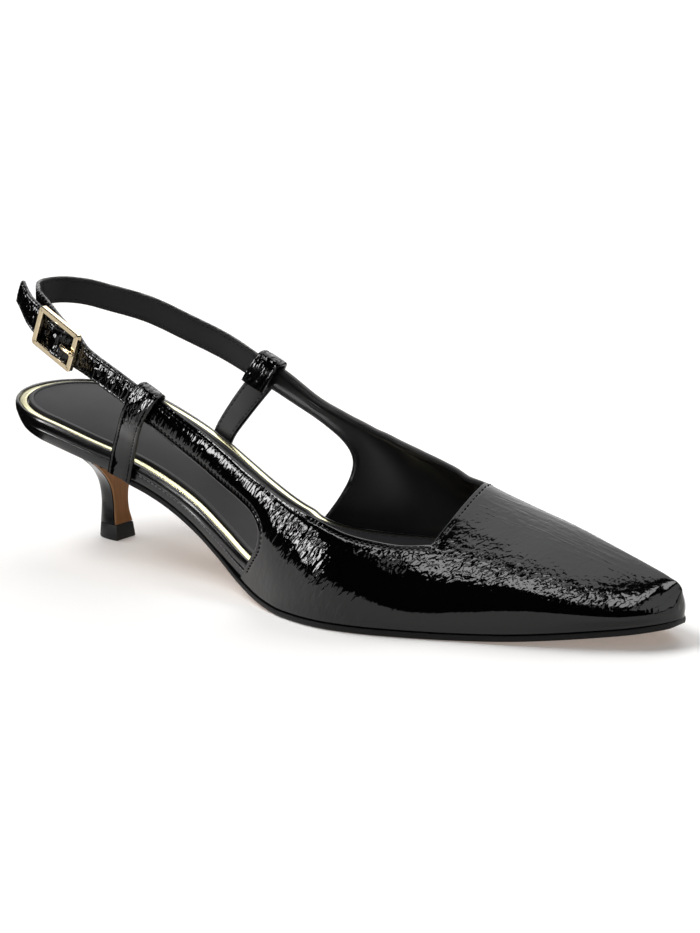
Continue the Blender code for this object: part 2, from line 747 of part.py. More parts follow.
def make_prong(collection):
    """Prong from its hole in the strap to the front bar."""
    end = BUCKLE_LENGTH / 2 + PRONG_OVER
    rise = BUCKLE_THICK / 2 + GAP + PRONG_THICK / 2
    prong = box("buckle_prong", (end - PRONG_START, PRONG_WIDTH, PRONG_THICK),
                ((PRONG_START + end) / 2, 0, rise), collection)
    prong.data.materials.append(material("gilt_metal"))
    return prong


def to_origin(parts):
    """Move the shoe so that the bottom centre of its box is at the origin."""
    bpy.context.view_layer.update()
    graph = bpy.context.evaluated_depsgraph_get()
    corners = []
    for part in parts:
        ready = part.evaluated_get(graph)
        corners += [ready.matrix_world @ vertex.co for vertex in ready.to_mesh().vertices]
        ready.to_mesh_clear()
    corners = np.array(corners)
    low = corners.min(axis=0)
    high = corners.max(axis=0)
    shift = Matrix.Translation((-(low[0] + high[0]) / 2, -(low[1] + high[1]) / 2, -low[2]))
    return shift


def main():
    for old in list(bpy.data.objects):
        bpy.data.objects.remove(old, do_unlink=True)
    shoe = bpy.data.collections.new("slingback_pump")
    cutters = bpy.data.collections.new("cutters")
    for collection in (shoe, cutters):
        bpy.context.scene.collection.children.link(collection)
    make_upper(shoe)
    make_outsole(shoe)
    make_rand(shoe)
    make_sock(shoe)
    make_piping(shoe)
    make_buckle_strap(shoe)
    make_strap("sling_strap", SLING_STRAP, shoe)
    make_stay("stay_lateral", LATERAL, shoe)
    make_stay("stay_medial", MEDIAL, shoe)
    make_heel(shoe)
    make_breast(shoe)
    make_top_piece(shoe)
    make_buckle(shoe, cutters)
    make_prong(shoe)
    shift = to_origin(list(shoe.objects))
    for part in list(shoe.objects) + list(cutters.objects):
        part.matrix_world = shift @ part.matrix_world


main()
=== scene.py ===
# %% [markdown]
# Black patent slingback pump, right shoe.
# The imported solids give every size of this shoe. This lesson dresses them: leather with its seams
# and stitches, the lined straps, the insole with its gold rim, the heel and the buckle.
# All drawing is done in millimetres from the heel (x = 0) to the toe, then moved into the frame.

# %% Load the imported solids
import json
from collections import namedtuple
from math import cos, pi, radians, sin

import bmesh
import bpy
import numpy as np
from mathutils import Matrix, Vector
from mathutils.kdtree import KDTree

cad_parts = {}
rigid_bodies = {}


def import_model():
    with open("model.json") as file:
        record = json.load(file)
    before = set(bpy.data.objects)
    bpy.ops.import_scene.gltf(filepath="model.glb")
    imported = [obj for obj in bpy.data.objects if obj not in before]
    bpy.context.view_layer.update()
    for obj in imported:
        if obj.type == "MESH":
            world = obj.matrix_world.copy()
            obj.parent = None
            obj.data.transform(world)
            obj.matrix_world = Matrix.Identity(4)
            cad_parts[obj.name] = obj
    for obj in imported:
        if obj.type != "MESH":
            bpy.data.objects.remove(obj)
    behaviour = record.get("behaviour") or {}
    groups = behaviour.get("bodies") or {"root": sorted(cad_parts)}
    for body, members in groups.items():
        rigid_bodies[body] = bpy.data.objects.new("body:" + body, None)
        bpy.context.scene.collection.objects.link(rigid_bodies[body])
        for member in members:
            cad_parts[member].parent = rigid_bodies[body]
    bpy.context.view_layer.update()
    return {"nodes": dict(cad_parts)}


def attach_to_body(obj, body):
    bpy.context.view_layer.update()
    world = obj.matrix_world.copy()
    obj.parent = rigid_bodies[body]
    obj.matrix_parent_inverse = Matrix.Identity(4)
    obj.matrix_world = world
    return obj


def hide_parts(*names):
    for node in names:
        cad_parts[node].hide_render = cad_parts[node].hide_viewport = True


for old in list(bpy.data.objects):
    bpy.data.objects.remove(old, do_unlink=True)
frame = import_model()
print("solids", sorted(frame["nodes"]))

# %% [markdown]
# Colours are written as sRGB hex values, as a picture editor shows them, and Blender mixes light in
# linear values, so one function turns them. One more adds a node with its settings and its links.
# A shader and a geometry tree are both made of nodes, so the same function serves both.

# %% Colour and node helpers
MM = 0.001


def linear(hex_colour):
    """sRGB hex to linear RGBA."""
    parts = [int(hex_colour[i:i + 2], 16) / 255 for i in (1, 3, 5)]
    return [c / 12.92 if c <= 0.04045 else ((c + 0.055) / 1.055) ** 2.4 for c in parts] + [1.0]


def node(tree, kind, inputs=None, **settings):
    """Adds a node; an input is a value, or a socket to link from."""
    made = tree.nodes.new(kind)
    for name, value in settings.items():
        setattr(made, name, value)
    for name, value in (inputs or {}).items():
        if isinstance(value, bpy.types.NodeSocket):
            tree.links.new(value, made.inputs[name])
        else:
            made.inputs[name].default_value = value
    return made


def put(name, data):
    """New object in the scene."""
    made = bpy.data.objects.new(name, data)
    bpy.context.scene.collection.objects.link(made)
    return made


def finish(name, colour, rough, **sockets):
    """A named Principled material: its tree, its shader and its Object coordinates in millimetres."""
    made = bpy.data.materials.new(name)
    made.use_nodes = True
    tree = made.node_tree
    shader = tree.nodes["Principled BSDF"]
    shader.inputs["Base Color"].default_value = linear(colour)
    shader.inputs["Roughness"].default_value = rough
    for socket, value in sockets.items():
        shader.inputs[socket.replace("_", " ")].default_value = value
    place = node(tree, "ShaderNodeTexCoord").outputs["Object"]
    scaled = node(tree, "ShaderNodeMapping", {"Vector": place, "Scale": (1 / MM,) * 3})
    return tree, shader, scaled.outputs["Vector"]


def grained_finish(name, colour, rough, size, detail, strength, depth, **sockets):
    """A finish with an even grain, whose size and depth are in millimetres."""
    tree, shader, where = finish(name, colour, rough, **sockets)
    grain = node(tree, "ShaderNodeTexNoise", {"Vector": where, "Scale": 1 / size, "Detail": detail})
    bump = node(tree, "ShaderNodeBump", {"Height": grain.outputs["Fac"], "Strength": strength,
                                         "Distance": depth * MM})
    tree.links.new(bump.outputs["Normal"], shader.inputs["Normal"])


# %% [markdown]
# Crinkled patent is leather with a thick black lacquer that was wrinkled before it set. The eye sees
# a mirror-like gloss that breaks into short bright lines wherever light turns to dark. Displaced
# geometry would need millions of faces, so a bump does it: a noise stretched to wrinkles about 1.5 mm
# apart and 4 mm long, leaning a little. The attribute "crinkle" says how strongly the leather is
# wrinkled at each point, because the toe was pulled smooth over the last. A second noise, long and
# narrow, makes the fine folds beside the ridge of the vamp, where the attribute "fold" is high.

# %% Crinkled patent leather
CRINKLE_SIZE = (1.45, 1.9, 4.6)
CRINKLE_LEAN = (0.0, radians(30), radians(10))
CRINKLE_DEPTH = 0.48
FOLD_SIZE = (9.0, 1.1, 1.1)
FOLD_LEAN = (0.0, radians(14), radians(4))
FOLD_DEPTH = 0.2
tree, shader, where = finish("crinkled_patent_leather", "#030304", 0.06, IOR=1.43)
tilt = None
for size, lean, depth, mask in ((CRINKLE_SIZE, CRINKLE_LEAN, CRINKLE_DEPTH, "crinkle"),
                                (FOLD_SIZE, FOLD_LEAN, FOLD_DEPTH, "fold")):
    stretch = node(tree, "ShaderNodeMapping", {"Vector": where, "Scale": size, "Rotation": lean},
                   vector_type="TEXTURE")
    wave = node(tree, "ShaderNodeTexNoise", {"Vector": stretch.outputs["Vector"], "Scale": 1.0,
                                             "Detail": 1.5, "Roughness": 0.45, "Distortion": 0.5})
    amount = node(tree, "ShaderNodeAttribute", attribute_name=mask).outputs["Fac"]
    height = node(tree, "ShaderNodeMath", {0: wave.outputs["Fac"], 1: amount}, operation="MULTIPLY")
    bump = node(tree, "ShaderNodeBump", {"Height": height.outputs[0], "Strength": 1.0,
                                         "Distance": depth * MM})
    if tilt:
        tree.links.new(tilt, bump.inputs["Normal"])
    tilt = bump.outputs["Normal"]
tree.links.new(tilt, shader.inputs["Normal"])
print("crinkle", CRINKLE_SIZE, "mm, depth", CRINKLE_DEPTH)

# %% [markdown]
# The rand and the heel are covered in a smooth, softer coated leather: only a faint waviness of about
# 6 mm shows, and its gloss is more satin than the lacquer of the upper. The heel is the duller one.

# %% Smooth cover leather
WAVE_SIZE = 6.0
WAVE_DEPTH = 0.1
for name, gloss in (("smooth_cover_leather", 0.55), ("heel_cover_leather", 0.28)):
    grained_finish(name, "#060607", 0.2, WAVE_SIZE, 1.0, 0.6, WAVE_DEPTH, IOR=1.5, Specular_IOR_Level=gloss)
print("waves of the cover leather", WAVE_SIZE, "mm, depth", WAVE_DEPTH)

# %% [markdown]
# Lining and sock are coated microfibre: dark, soft, with a fine pebble of about 0.4 mm that spreads
# the light. The sock is greyer. Their gloss varies a little, as it does where a sheet is glued and pressed.

# %% Lining, strap lining and sock
RUB_SIZE = 18.0
RUB = 0.06
for name, colour, rough, gloss, pebble, depth in (
        ("lining_microfibre", "#111013", 0.3, 0.5, 0.5, 0.02),
        ("strap_lining_microfibre", "#1c1a1c", 0.6, 0.4, 0.4, 0.05),
        ("sock_satin_microfibre", "#272628", 0.55, 0.12, 0.35, 0.03)):
    tree, shader, where = finish(name, colour, rough, Specular_IOR_Level=gloss)
    grain = node(tree, "ShaderNodeTexVoronoi", {"Vector": where, "Scale": 1 / pebble})
    bump = node(tree, "ShaderNodeBump", {"Height": grain.outputs["Distance"], "Strength": 0.5,
                                         "Distance": depth * MM})
    tree.links.new(bump.outputs["Normal"], shader.inputs["Normal"])
    patch = node(tree, "ShaderNodeTexNoise", {"Vector": where, "Scale": 1 / RUB_SIZE, "Detail": 3.0})
    rub = node(tree, "ShaderNodeMapRange", {"Value": patch.outputs["Fac"], "To Min": rough - RUB,
                                            "To Max": rough + RUB})
    tree.links.new(rub.outputs["Result"], shader.inputs["Roughness"])
    print(name, "pebble", pebble, "mm")

# %% [markdown]
# The gold rim is a foil-covered tape: pale gold, nearly a mirror, with the slight unevenness of the tape
# below. The buckle is gilt zinc, polished, a little warmer and more even.

# %% Gold tape and gilt metal
METAL_DEPTH = 0.004
for name, colour, rough, grain in (("gold_foil_tape", "#cfc9a0", 0.24, 1.5),
                                   ("gilt_zinc", "#d9c7a6", 0.16, 4.0)):
    grained_finish(name, colour, rough, grain, 2.0, 0.5, METAL_DEPTH, Metallic=1.0)
    print(name, "grain", grain, "mm")

# %% [markdown]
# The sole is cut from tan resin-rubber sheet whose edge is painted black. The heel's front is covered
# in brown stacked leather, so its colour runs in fine layers, and the top piece is black rubber. The
# thread is waxed and glints a little, and the binding on cut edges is dull. The pale grey thread of the
# rand's seam is painted highlight: it stands for the glints along that seam, whose real thread is black.
# Fibres and grit are too fine to be seen one by one, so a small bump only softens the gloss.

# %% Sole, heel and thread
for name, dark, pale, rough, gloss, stretch, scale, detail in (
        ("tan_sole_sheet", "#98754d", "#b08d66", 0.6, 0.5, (1.0, 1.0, 1.0), 1 / 1.2, 4.0),
        ("brown_breast_leather", "#6d4716", "#97642c", 0.5, 0.3, (0.4, 1.2, 0.12), 1.5, 3.0)):
    tree, shader, where = finish(name, dark, rough, Specular_IOR_Level=gloss)
    layers = node(tree, "ShaderNodeMapping", {"Vector": where, "Scale": stretch})
    grain = node(tree, "ShaderNodeTexNoise", {"Vector": layers.outputs["Vector"], "Scale": scale,
                                              "Detail": detail})
    blend = node(tree, "ShaderNodeMix", {0: grain.outputs["Fac"], 6: linear(dark), 7: linear(pale)},
                 data_type="RGBA")
    tree.links.new(blend.outputs[2], shader.inputs["Base Color"])
for name, colour, rough, grit, depth in (
        ("black_edge_paint", "#070707", 0.5, 0.6, 0.03),
        ("black_top_rubber", "#131314", 0.5, 0.4, 0.03),
        ("black_thread", "#151517", 0.4, 0.25, 0.05),
        # painted highlight: this pale grey thread stands for the glints along the rand's seam
        ("grey_waxed_thread", "#77777a", 0.4, 0.25, 0.05),
        ("dark_binding", "#121112", 0.5, 0.4, 0.03)):
    grained_finish(name, colour, rough, grit, 2.0, 0.5, depth, Specular_IOR_Level=0.22)
print("finishes", [m.name for m in bpy.data.materials if m.users == 0])

# %% [markdown]
# A shoe is drawn from short tables, as a last maker keeps them: a size at a few places along the shoe,
# with a smooth curve through them. A few small functions on rows of points do the rest.

# %% Tables and smooth curves
TO_FRAME = Vector((-131.15, 5.19, 0.0))
LATERAL = -1
MEDIAL = 1


def slopes(keys, values):
    """Slope of the smooth curve at each row, from its neighbours."""
    step = np.diff(keys)[:, None]
    chord = np.diff(values, axis=0) / step
    inner = (chord[:-1] * step[1:] + chord[1:] * step[:-1]) / (step[:-1] + step[1:])
    return np.vstack([chord[:1], inner, chord[-1:]])


def smooth(keys, values, at):
    """Cubic curve through rows of values, at one or many places."""
    keys = np.asarray(keys, float)
    values = np.asarray(values, float)
    at = np.clip(np.atleast_1d(np.asarray(at, float)), keys[0], keys[-1])
    i = np.clip(np.searchsorted(keys, at, side="right") - 1, 0, len(keys) - 2)
    slope = slopes(keys, values)
    step = (keys[i + 1] - keys[i])[:, None]
    t = ((at - keys[i])[:, None]) / step
    return (values[i] * (2 * t**3 - 3 * t**2 + 1) + slope[i] * step * (t**3 - 2 * t**2 + t)
            + values[i + 1] * (3 * t**2 - 2 * t**3) + slope[i + 1] * step * (t**3 - t**2))


class Table:
    """Rows of named columns; the first column is the key."""

    def __init__(self, columns, rows):
        self.row = namedtuple("Row", columns)
        self.data = np.array(rows, float)

    def at(self, key):
        return self.row(*smooth(self.data[:, 0], self.data, key).T)


def smooth_run(points, count):
    """Even steps on the smooth curve through points."""
    keys = np.arange(len(points))
    return smooth(keys, points, np.linspace(0, keys[-1], count))


def lengths(points):
    """Distance of each point from the start, measured along their line."""
    return np.concatenate([[0.0], np.cumsum(np.linalg.norm(np.diff(points, axis=0), axis=1))])


def path_run(rows, count):
    """Steps of equal length on a smooth path in space; x, y and z are the first columns."""
    rows = np.array(rows, float)
    keys = lengths(rows[:, :3])
    return smooth(keys, rows, np.linspace(0, keys[-1], count))


def unit_rows(vectors):
    """The same directions with length 1."""
    return vectors / np.linalg.norm(vectors, axis=1, keepdims=True)


def turns(count):
    """Even angles round a circle."""
    return np.linspace(0, 2 * pi, count + 1)[:-1]


def ramp(x, start, end):
    """Smooth step from 0 to 1."""
    t = np.clip((x - start) / (end - start), 0.0, 1.0)
    return t * t * (3 - 2 * t)


def to_frame(points):
    """Points in millimetres, moved into the frame and its metres."""
    return [(Vector(p) + TO_FRAME) * MM for p in points]


# %% [markdown]
# The sole's table gives the half width on each side, the height of the sheet over the floor and the
# height of the rand. The last's table gives the shoulder on each side and the ridge. Both repeat the
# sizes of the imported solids, and the toe is set a little finer, so the leather lies where its solid is.

# %% Sole and last
LENGTH = 260.8
GAP = 0.3
LEDGE = 0.6
HEEL_CENTRE = 27.5
HEEL_RADIUS = 27.6
TOE_Y = 7.0
TOE_START = 248.0
TOE_ROUND = 2.4
OUTSOLE_THICK = 2.0
SOLE = Table("x lat med z_lat z_med rand", [
    (0.0, 27.6, 27.6, 39.5, 39.5, 8.0),
    (14.0, 27.6, 27.6, 37.5, 37.5, 8.1),
    (27.5, 27.6, 27.6, 35.0, 35.2, 8.2),
    (48.0, 26.2, 26.0, 30.8, 31.2, 7.0),
    (60.0, 24.7, 24.0, 28.3, 28.6, 6.2),
    (70.0, 24.2, 22.1, 25.6, 25.6, 5.9),
    (80.0, 24.2, 20.4, 21.9, 21.2, 6.1),
    (92.0, 25.2, 19.3, 16.3, 14.9, 6.8),
    (105.0, 28.5, 21.0, 10.1, 7.9, 7.2),
    (118.0, 33.2, 25.0, 4.3, 2.7, 7.5),
    (130.0, 38.2, 28.7, 1.2, 0.6, 8.4),
    (142.0, 42.6, 31.8, 0.0, 0.0, 9.0),
    (160.0, 45.4, 34.6, 0.0, 0.0, 9.0),
    (175.0, 43.0, 35.0, 0.0, 0.0, 8.2),
    (190.0, 37.7, 33.9, 0.0, 0.0, 6.6),
    (205.0, 31.4, 31.4, 0.2, 0.2, 5.0),
    (220.0, 25.2, 28.3, 1.0, 1.0, 3.6),
    (235.0, 17.6, 24.2, 2.4, 2.4, 3.1),
    (248.0, 10.0, 19.4, 3.9, 3.9, 2.6),
    (256.0, 5.6, 16.2, 5.0, 5.0, 2.4),
    (262.0, 2.2, 13.6, 5.8, 5.8, 2.4),
])
LAST = Table("x lat_y lat_z ridge_y ridge_z med_y med_z flare", [
    (70.0, -31.1, 58.0, 0.0, 112.0, 30.6, 58.0, 3.0),
    (84.0, -31.6, 55.0, 0.0, 106.0, 31.2, 55.0, 3.0),
    (102.0, -32.1, 48.0, 0.0, 96.0, 30.8, 48.5, 2.6),
    (125.0, -34.6, 41.5, 0.0, 82.0, 30.2, 44.5, 1.8),
    (140.0, -36.8, 36.4, 2.0, 70.0, 29.6, 40.5, 1.6),
    (153.0, -37.3, 33.0, 4.0, 60.0, 28.0, 37.5, 1.8),
    (165.0, -36.0, 29.8, 6.0, 51.0, 26.8, 33.2, 2.0),
    (175.0, -31.4, 26.8, 7.5, 43.7, 26.2, 28.5, 2.0),
    (187.0, -24.4, 23.8, 8.5, 38.9, 25.6, 25.0, 1.8),
    (205.0, -20.8, 21.0, 8.6, 34.1, 23.8, 21.8, 1.5),
    (220.0, -18.4, 19.0, 8.6, 30.6, 21.6, 19.6, 1.3),
    (235.0, -14.4, 15.8, 8.6, 26.2, 19.6, 17.0, 1.1),
    (248.0, -8.4, 13.5, 8.2, 22.4, 17.0, 14.8, 0.8),
    (256.0, -4.6, 13.0, 7.6, 20.0, 14.6, 13.6, 0.6),
    (260.0, -2.4, 12.4, 7.2, 18.2, 13.4, 12.6, 0.5),
    (262.0, -0.6, 11.6, 7.0, 15.4, 12.4, 11.4, 0.4),
])


def taper(x):
    """Rounding of the toe: 1 on the sides, 0 at the tip."""
    share = np.clip((x - TOE_START) / (LENGTH - TOE_START), 0.0, 1.0)
    return (1.0 - share**TOE_ROUND) ** (1.0 / TOE_ROUND)


def toe_round(x, y):
    """The y of an edge, drawn in to the middle of the rounded toe."""
    return TOE_Y + (y - TOE_Y) * taper(x)


def outline(x):
    """Lateral and medial edge of the outsole."""
    x = np.atleast_1d(np.asarray(x, float))
    row = SOLE.at(x)
    share = np.clip((HEEL_CENTRE - x) / HEEL_CENTRE, 0.0, 1.0)
    half = HEEL_RADIUS * np.sqrt(1.0 - share**2)
    lat = np.where(x < HEEL_CENTRE, -half, toe_round(x, -row.lat))
    med = np.where(x < HEEL_CENTRE, half, toe_round(x, row.med))
    return lat, med


def insole_base(x, y):
    """Top of the outsole."""
    row = SOLE.at(x)
    share = np.clip((y + row.lat) / (row.lat + row.med), 0.0, 1.0)
    return np.maximum(0.0, row.z_lat + (row.z_med - row.z_lat) * share) + OUTSOLE_THICK + GAP


print("sole", len(SOLE.data), "rows, last", len(LAST.data), "rows, length", LENGTH, "mm")

# %% [markdown]
# The upper is pulled over the last, so its surface is the last's surface: at each place along the shoe
# a curve runs from the feather line at the sole over the wall and the shoulder to the ridge. A point
# is then named by two numbers, x along the shoe and v from the sole (0) to the ridge (1).

# %% Surface of the last
WALL_SHARE = 0.75
FLARE_SHARE = 1.2
RIDGE_FLAT = (0.25, 0.1)
RIDGE_SHARPENS = (200.0, 246.0)
RIDGE_LEVELS = (150.0, 190.0)


def last_point(x, v, side):
    """Points of the last, as rows of x, y and z."""
    x = np.atleast_1d(np.asarray(x, float))
    v = np.atleast_1d(np.asarray(v, float))[:, None]
    row = LAST.at(x)
    lat, med = outline(x)
    foot_y = lat + LEDGE if side == LATERAL else med - LEDGE
    foot_y = np.where((np.abs(foot_y - TOE_Y) < LEDGE) | (x >= LENGTH), TOE_Y, foot_y)
    foot = np.stack([foot_y, insole_base(x, foot_y)], 1)
    mark_y, mark_z = (row.lat_y, row.lat_z) if side == LATERAL else (row.med_y, row.med_z)
    ridge = np.stack([toe_round(x, row.ridge_y), row.ridge_z], 1)
    shoulder = np.stack([toe_round(x, mark_y), mark_z], 1)
    wall = foot + np.stack([side * FLARE_SHARE * row.flare * taper(x),
                            WALL_SHARE * (mark_z - foot[:, 1])], 1)
    lean = 2 * shoulder - wall
    flat = RIDGE_FLAT[0] + (RIDGE_FLAT[1] - RIDGE_FLAT[0]) * ramp(x, *RIDGE_SHARPENS)
    level = np.stack([toe_round(x, row.ridge_y + flat * (mark_y - row.ridge_y)), row.ridge_z], 1)
    top = lean + (level - lean) * ramp(x, *RIDGE_LEVELS)[:, None]
    crown = (16 * shoulder - foot - 4 * wall - 4 * top - ridge) / 6
    w = 1 - v
    yz = (foot * w**4 + 4 * wall * w**3 * v + 6 * crown * w * w * v * v
          + 4 * top * w * v**3 + ridge * v**4)
    return np.column_stack([x, yz])


def last_normal(x, v, side):
    """Outward normals of the last."""
    step = 0.01
    along = last_point(np.asarray(x) + step, v, side) - last_point(np.asarray(x) - step, v, side)
    up = last_point(x, np.asarray(v) + step, side) - last_point(x, np.asarray(v) - step, side)
    out = np.cross(along, up) * -side
    return out / np.maximum(np.linalg.norm(out, axis=1, keepdims=True), 1e-9)


def height_share(x, z, side):
    """The v at which the last reaches height z."""
    steps = np.linspace(0, 1, 201)
    heights = last_point(np.full(len(steps), x), steps, side)[:, 2]
    peak = int(np.argmax(heights)) + 1
    return float(np.interp(z, heights[:peak], steps[:peak]))


print("ridge above the floor at x = 200:", last_point(200.0, 1.0, LATERAL)[0, 2].round(1), "mm")

# %% [markdown]
# The pattern cutter's lines: the topline above, and below it the cut-out and then the feather line.
# Ribs run from the lower line to the upper line, and between them lie the faces.

# %% Lines of the upper
LATERAL_CUT = [  # low_x, low_z, up_x, up_z
    (75.6, 53.2, 79.3, 62.2),
    (88.0, 47.3, 91.5, 57.0),
    (101.4, 41.4, 103.0, 51.9),
    (112.0, 37.0, 113.0, 47.3),
    (121.0, 33.8, 121.0, 43.7),
    (128.2, 30.6, 127.5, 41.0),
    (132.0, 26.2, 133.0, 38.9),
    (130.8, 20.0, 138.0, 37.1),
    (125.0, 13.6, 143.0, 35.6),
    (118.8, 0.0, 148.5, 34.2),
]
MEDIAL_CUT = [
    (75.6, 54.0, 79.3, 62.0),
    (87.0, 50.0, 90.0, 57.4),
    (100.3, 44.9, 101.7, 51.6),
    (108.8, 41.0, 110.0, 48.9),
    (114.4, 37.3, 116.0, 47.1),
    (117.4, 33.0, 121.0, 45.8),
    (117.2, 27.6, 126.0, 44.3),
    (114.8, 21.6, 131.0, 43.3),
    (111.2, 15.4, 136.0, 42.0),
    (107.0, 0.0, 142.0, 40.8),
]
LATERAL_QUARTER = [  # low_x, up_x, up_z
    (118.8, 148.5, 34.2),
    (133.5, 157.0, 31.9),
    (150.0, 166.0, 29.2),
    (168.0, 175.0, 26.9),
    (178.5, 181.0, 25.8),
    (187.0, 187.0, 25.7),
]
MEDIAL_QUARTER = [
    (107.0, 142.0, 40.8),
    (122.0, 151.0, 39.3),
    (140.0, 160.0, 38.4),
    (159.0, 169.0, 38.1),
    (174.5, 178.0, 38.4),
    (185.0, 185.0, 38.4),
]
THROAT_RIDGE_X = 186.0
CUT_RIBS = 85
QUARTER_RIBS = 52
RIB_BOW = 10.0
CUT_BOWS = (0.45, 0.8)
QUARTER_BOWS = (0.0, 0.8)
Rib = namedtuple("Rib", "low high bow part")


def upper_ribs(side):
    """Ribs of one side: ends as (x, v), bow towards the toe, and the part of the upper it crosses."""
    cut, quarter = (LATERAL_CUT, LATERAL_QUARTER) if side == LATERAL else (MEDIAL_CUT, MEDIAL_QUARTER)
    low = smooth_run([(x, height_share(x, z, side) if z else 0.0) for x, z, _, _ in cut], CUT_RIBS)
    high = smooth_run([(x, height_share(x, z, side)) for _, _, x, z in cut], CUT_RIBS)
    bows = RIB_BOW * ramp(np.linspace(0, 1, CUT_RIBS), *CUT_BOWS)
    ribs = [Rib(a, b, bow, "cut") for a, b, bow in zip(low, high, bows)]
    low = smooth_run([(x, 0.0) for x, _, _ in quarter], QUARTER_RIBS)
    high = smooth_run([(x, height_share(x, z, side)) for _, x, z in quarter], QUARTER_RIBS)
    bows = RIB_BOW * (1 - ramp(np.linspace(0, 1, QUARTER_RIBS), *QUARTER_BOWS))
    return ribs + [Rib(a, b, bow, "quarter") for a, b, bow in list(zip(low, high, bows))[1:]]


RIBS = {side: upper_ribs(side) for side in (LATERAL, MEDIAL)}
print("ribs on each side", len(RIBS[LATERAL]))

# %% [markdown]
# Stitch rows lie a fixed distance inside an edge. Along the topline and the cut-out that distance is
# measured on the ribs, and along the square throat it is measured towards the toe. The rows are found
# before the leather, because the thread pulls a shallow groove into it.

# %% Stitch rows of the upper
ROW_INSET = 1.5
THROAT_INSET = 1.3
WALL = 1.7
THREAD = 0.2
THREAD_LIFT = THREAD * 0.3
RIB_SAMPLES = 60
THROAT_SAMPLES = 24
RIDGE_STOP = 0.999
stitch_rows = []
row_marks = []


def rib_run(rib, side):
    """Samples along a rib: x and v, and the length from its lower end."""
    t = np.linspace(0, 1, RIB_SAMPLES)[:, None]
    at = rib.low + (rib.high - rib.low) * t + rib.bow * np.sin(pi * t) * (1, 0)
    return at, lengths(last_point(at[:, 0], at[:, 1], side))


def rib_at(rib, side, distances):
    """(x, v) on a rib at distances from its lower end."""
    at, length = rib_run(rib, side)
    return np.column_stack([np.interp(distances, length, at[:, i]) for i in (0, 1)])


def rib_inside(rib, side, border, inset):
    """(x, v) on a rib where it is an inset away from a border line."""
    at = rib_run(rib, side)[0]
    points = last_point(at[:, 0], at[:, 1], side)
    away = np.linalg.norm(points[:, None, :] - border[None, :, :], axis=2).min(axis=1)
    k = max(1, int(np.argmax(away >= inset)))
    share = (inset - away[k - 1]) / (away[k] - away[k - 1])
    return at[k - 1] + (at[k] - at[k - 1]) * share


def upper_row(places, side):
    """One stitch row through (x, v) places, on the outside and on the lining."""
    places = np.array(places)
    points = last_point(places[:, 0], places[:, 1], side)
    out = last_normal(places[:, 0], places[:, 1], side)
    row_marks.extend(points)
    stitch_rows.append(points + out * THREAD_LIFT)
    stitch_rows.append(points - out * (WALL + THREAD_LIFT))


for side, ribs in RIBS.items():
    topline = []
    cut_edge = []
    low = np.array([rib.low for rib in ribs if rib.part == "cut"])
    border = last_point(low[:, 0], low[:, 1], side)
    for rib in ribs:
        total = rib_run(rib, side)[1][-1]
        topline.append(rib_at(rib, side, [total - ROW_INSET])[0])
        if rib.part == "cut":
            cut_edge.append(rib_inside(rib, side, border, ROW_INSET))
    corner_x, corner_v = ribs[-1].high
    low_v = topline[-1][1]
    throat = [(corner_x + THROAT_INSET + (THROAT_RIDGE_X - corner_x) * (v - low_v) / (1 - low_v), v)
              for v in np.linspace(low_v, RIDGE_STOP, THROAT_SAMPLES)]
    upper_row(topline[2:] + throat, side)
    upper_row(cut_edge[2:-2], side)
print("stitch rows of the upper", len(stitch_rows))

# %% [markdown]
# Every piece is made the same way: points in millimetres and faces between them. Points that meet are
# merged and all faces are turned outwards, before a modifier can give a wall its thickness. A piece
# then rides on the shoe and stands for its solid.

# %% Piece helpers
SAME_POINT = 0.01 * MM
NO_LENGTH = 0.005 * MM


def add_piece(name, points, faces, finishes, face_finish=None, sharp=50, **strengths):
    """Closed up mesh object from points in millimetres, with faces outwards and its finishes."""
    mesh = bpy.data.meshes.new(name)
    mesh.from_pydata(to_frame(points), [], faces)
    for finish_name in finishes:
        mesh.materials.append(bpy.data.materials[finish_name])
    if face_finish is not None:
        mesh.polygons.foreach_set("material_index", face_finish)
    for strength, values in strengths.items():
        amount = mesh.attributes.new(strength, "FLOAT", "POINT")
        amount.data.foreach_set("value", np.asarray(values, np.float32))
    body = bmesh.new()
    body.from_mesh(mesh)
    bmesh.ops.remove_doubles(body, verts=body.verts, dist=SAME_POINT)
    bmesh.ops.dissolve_degenerate(body, edges=body.edges, dist=NO_LENGTH)
    bmesh.ops.recalc_face_normals(body, faces=body.faces)
    body.to_mesh(mesh)
    body.free()
    mesh.shade_smooth()
    mesh.set_sharp_from_angle(angle=radians(sharp))
    return put(name, mesh)


def bake(piece):
    """Turns the piece's modifiers into its plain mesh."""
    bpy.context.view_layer.update()
    graph = bpy.context.evaluated_depsgraph_get()
    mesh = bpy.data.meshes.new_from_object(piece.evaluated_get(graph))
    piece.modifiers.clear()
    piece.data = mesh
    return piece


def attach(piece, node_name):
    """The piece rides on the shoe and, where a node is named, stands for it."""
    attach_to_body(piece, "root")
    if node_name:
        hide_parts(node_name)
    print(piece.name, "faces", len(piece.data.polygons))


def grid_faces(rows, columns, start=0, ring=False, loop=False, flip=False):
    """Quads of a grid of points; ring closes each row, loop joins the last row to the first."""
    faces = []
    for i in range(rows if loop else rows - 1):
        for j in range(columns if ring else columns - 1):
            k = (i + 1) % rows
            m = (j + 1) % columns
            face = [start + i * columns + j, start + k * columns + j,
                    start + k * columns + m, start + i * columns + m]
            faces.append(face[::-1] if flip else face)
    return faces


def end_faces(rows, columns, start=0):
    """Caps over the first and the last ring of a grid."""
    last = start + (rows - 1) * columns
    return [list(range(start, start + columns)), list(range(last, last + columns))[::-1]]


# %% [markdown]
# Now the leather itself. Each rib gets closely spaced points near both edges, so that the groove of
# the stitches can show. In front of the throat the rows go on to the toe, closer together towards the
# tip, where both sides end on one line.

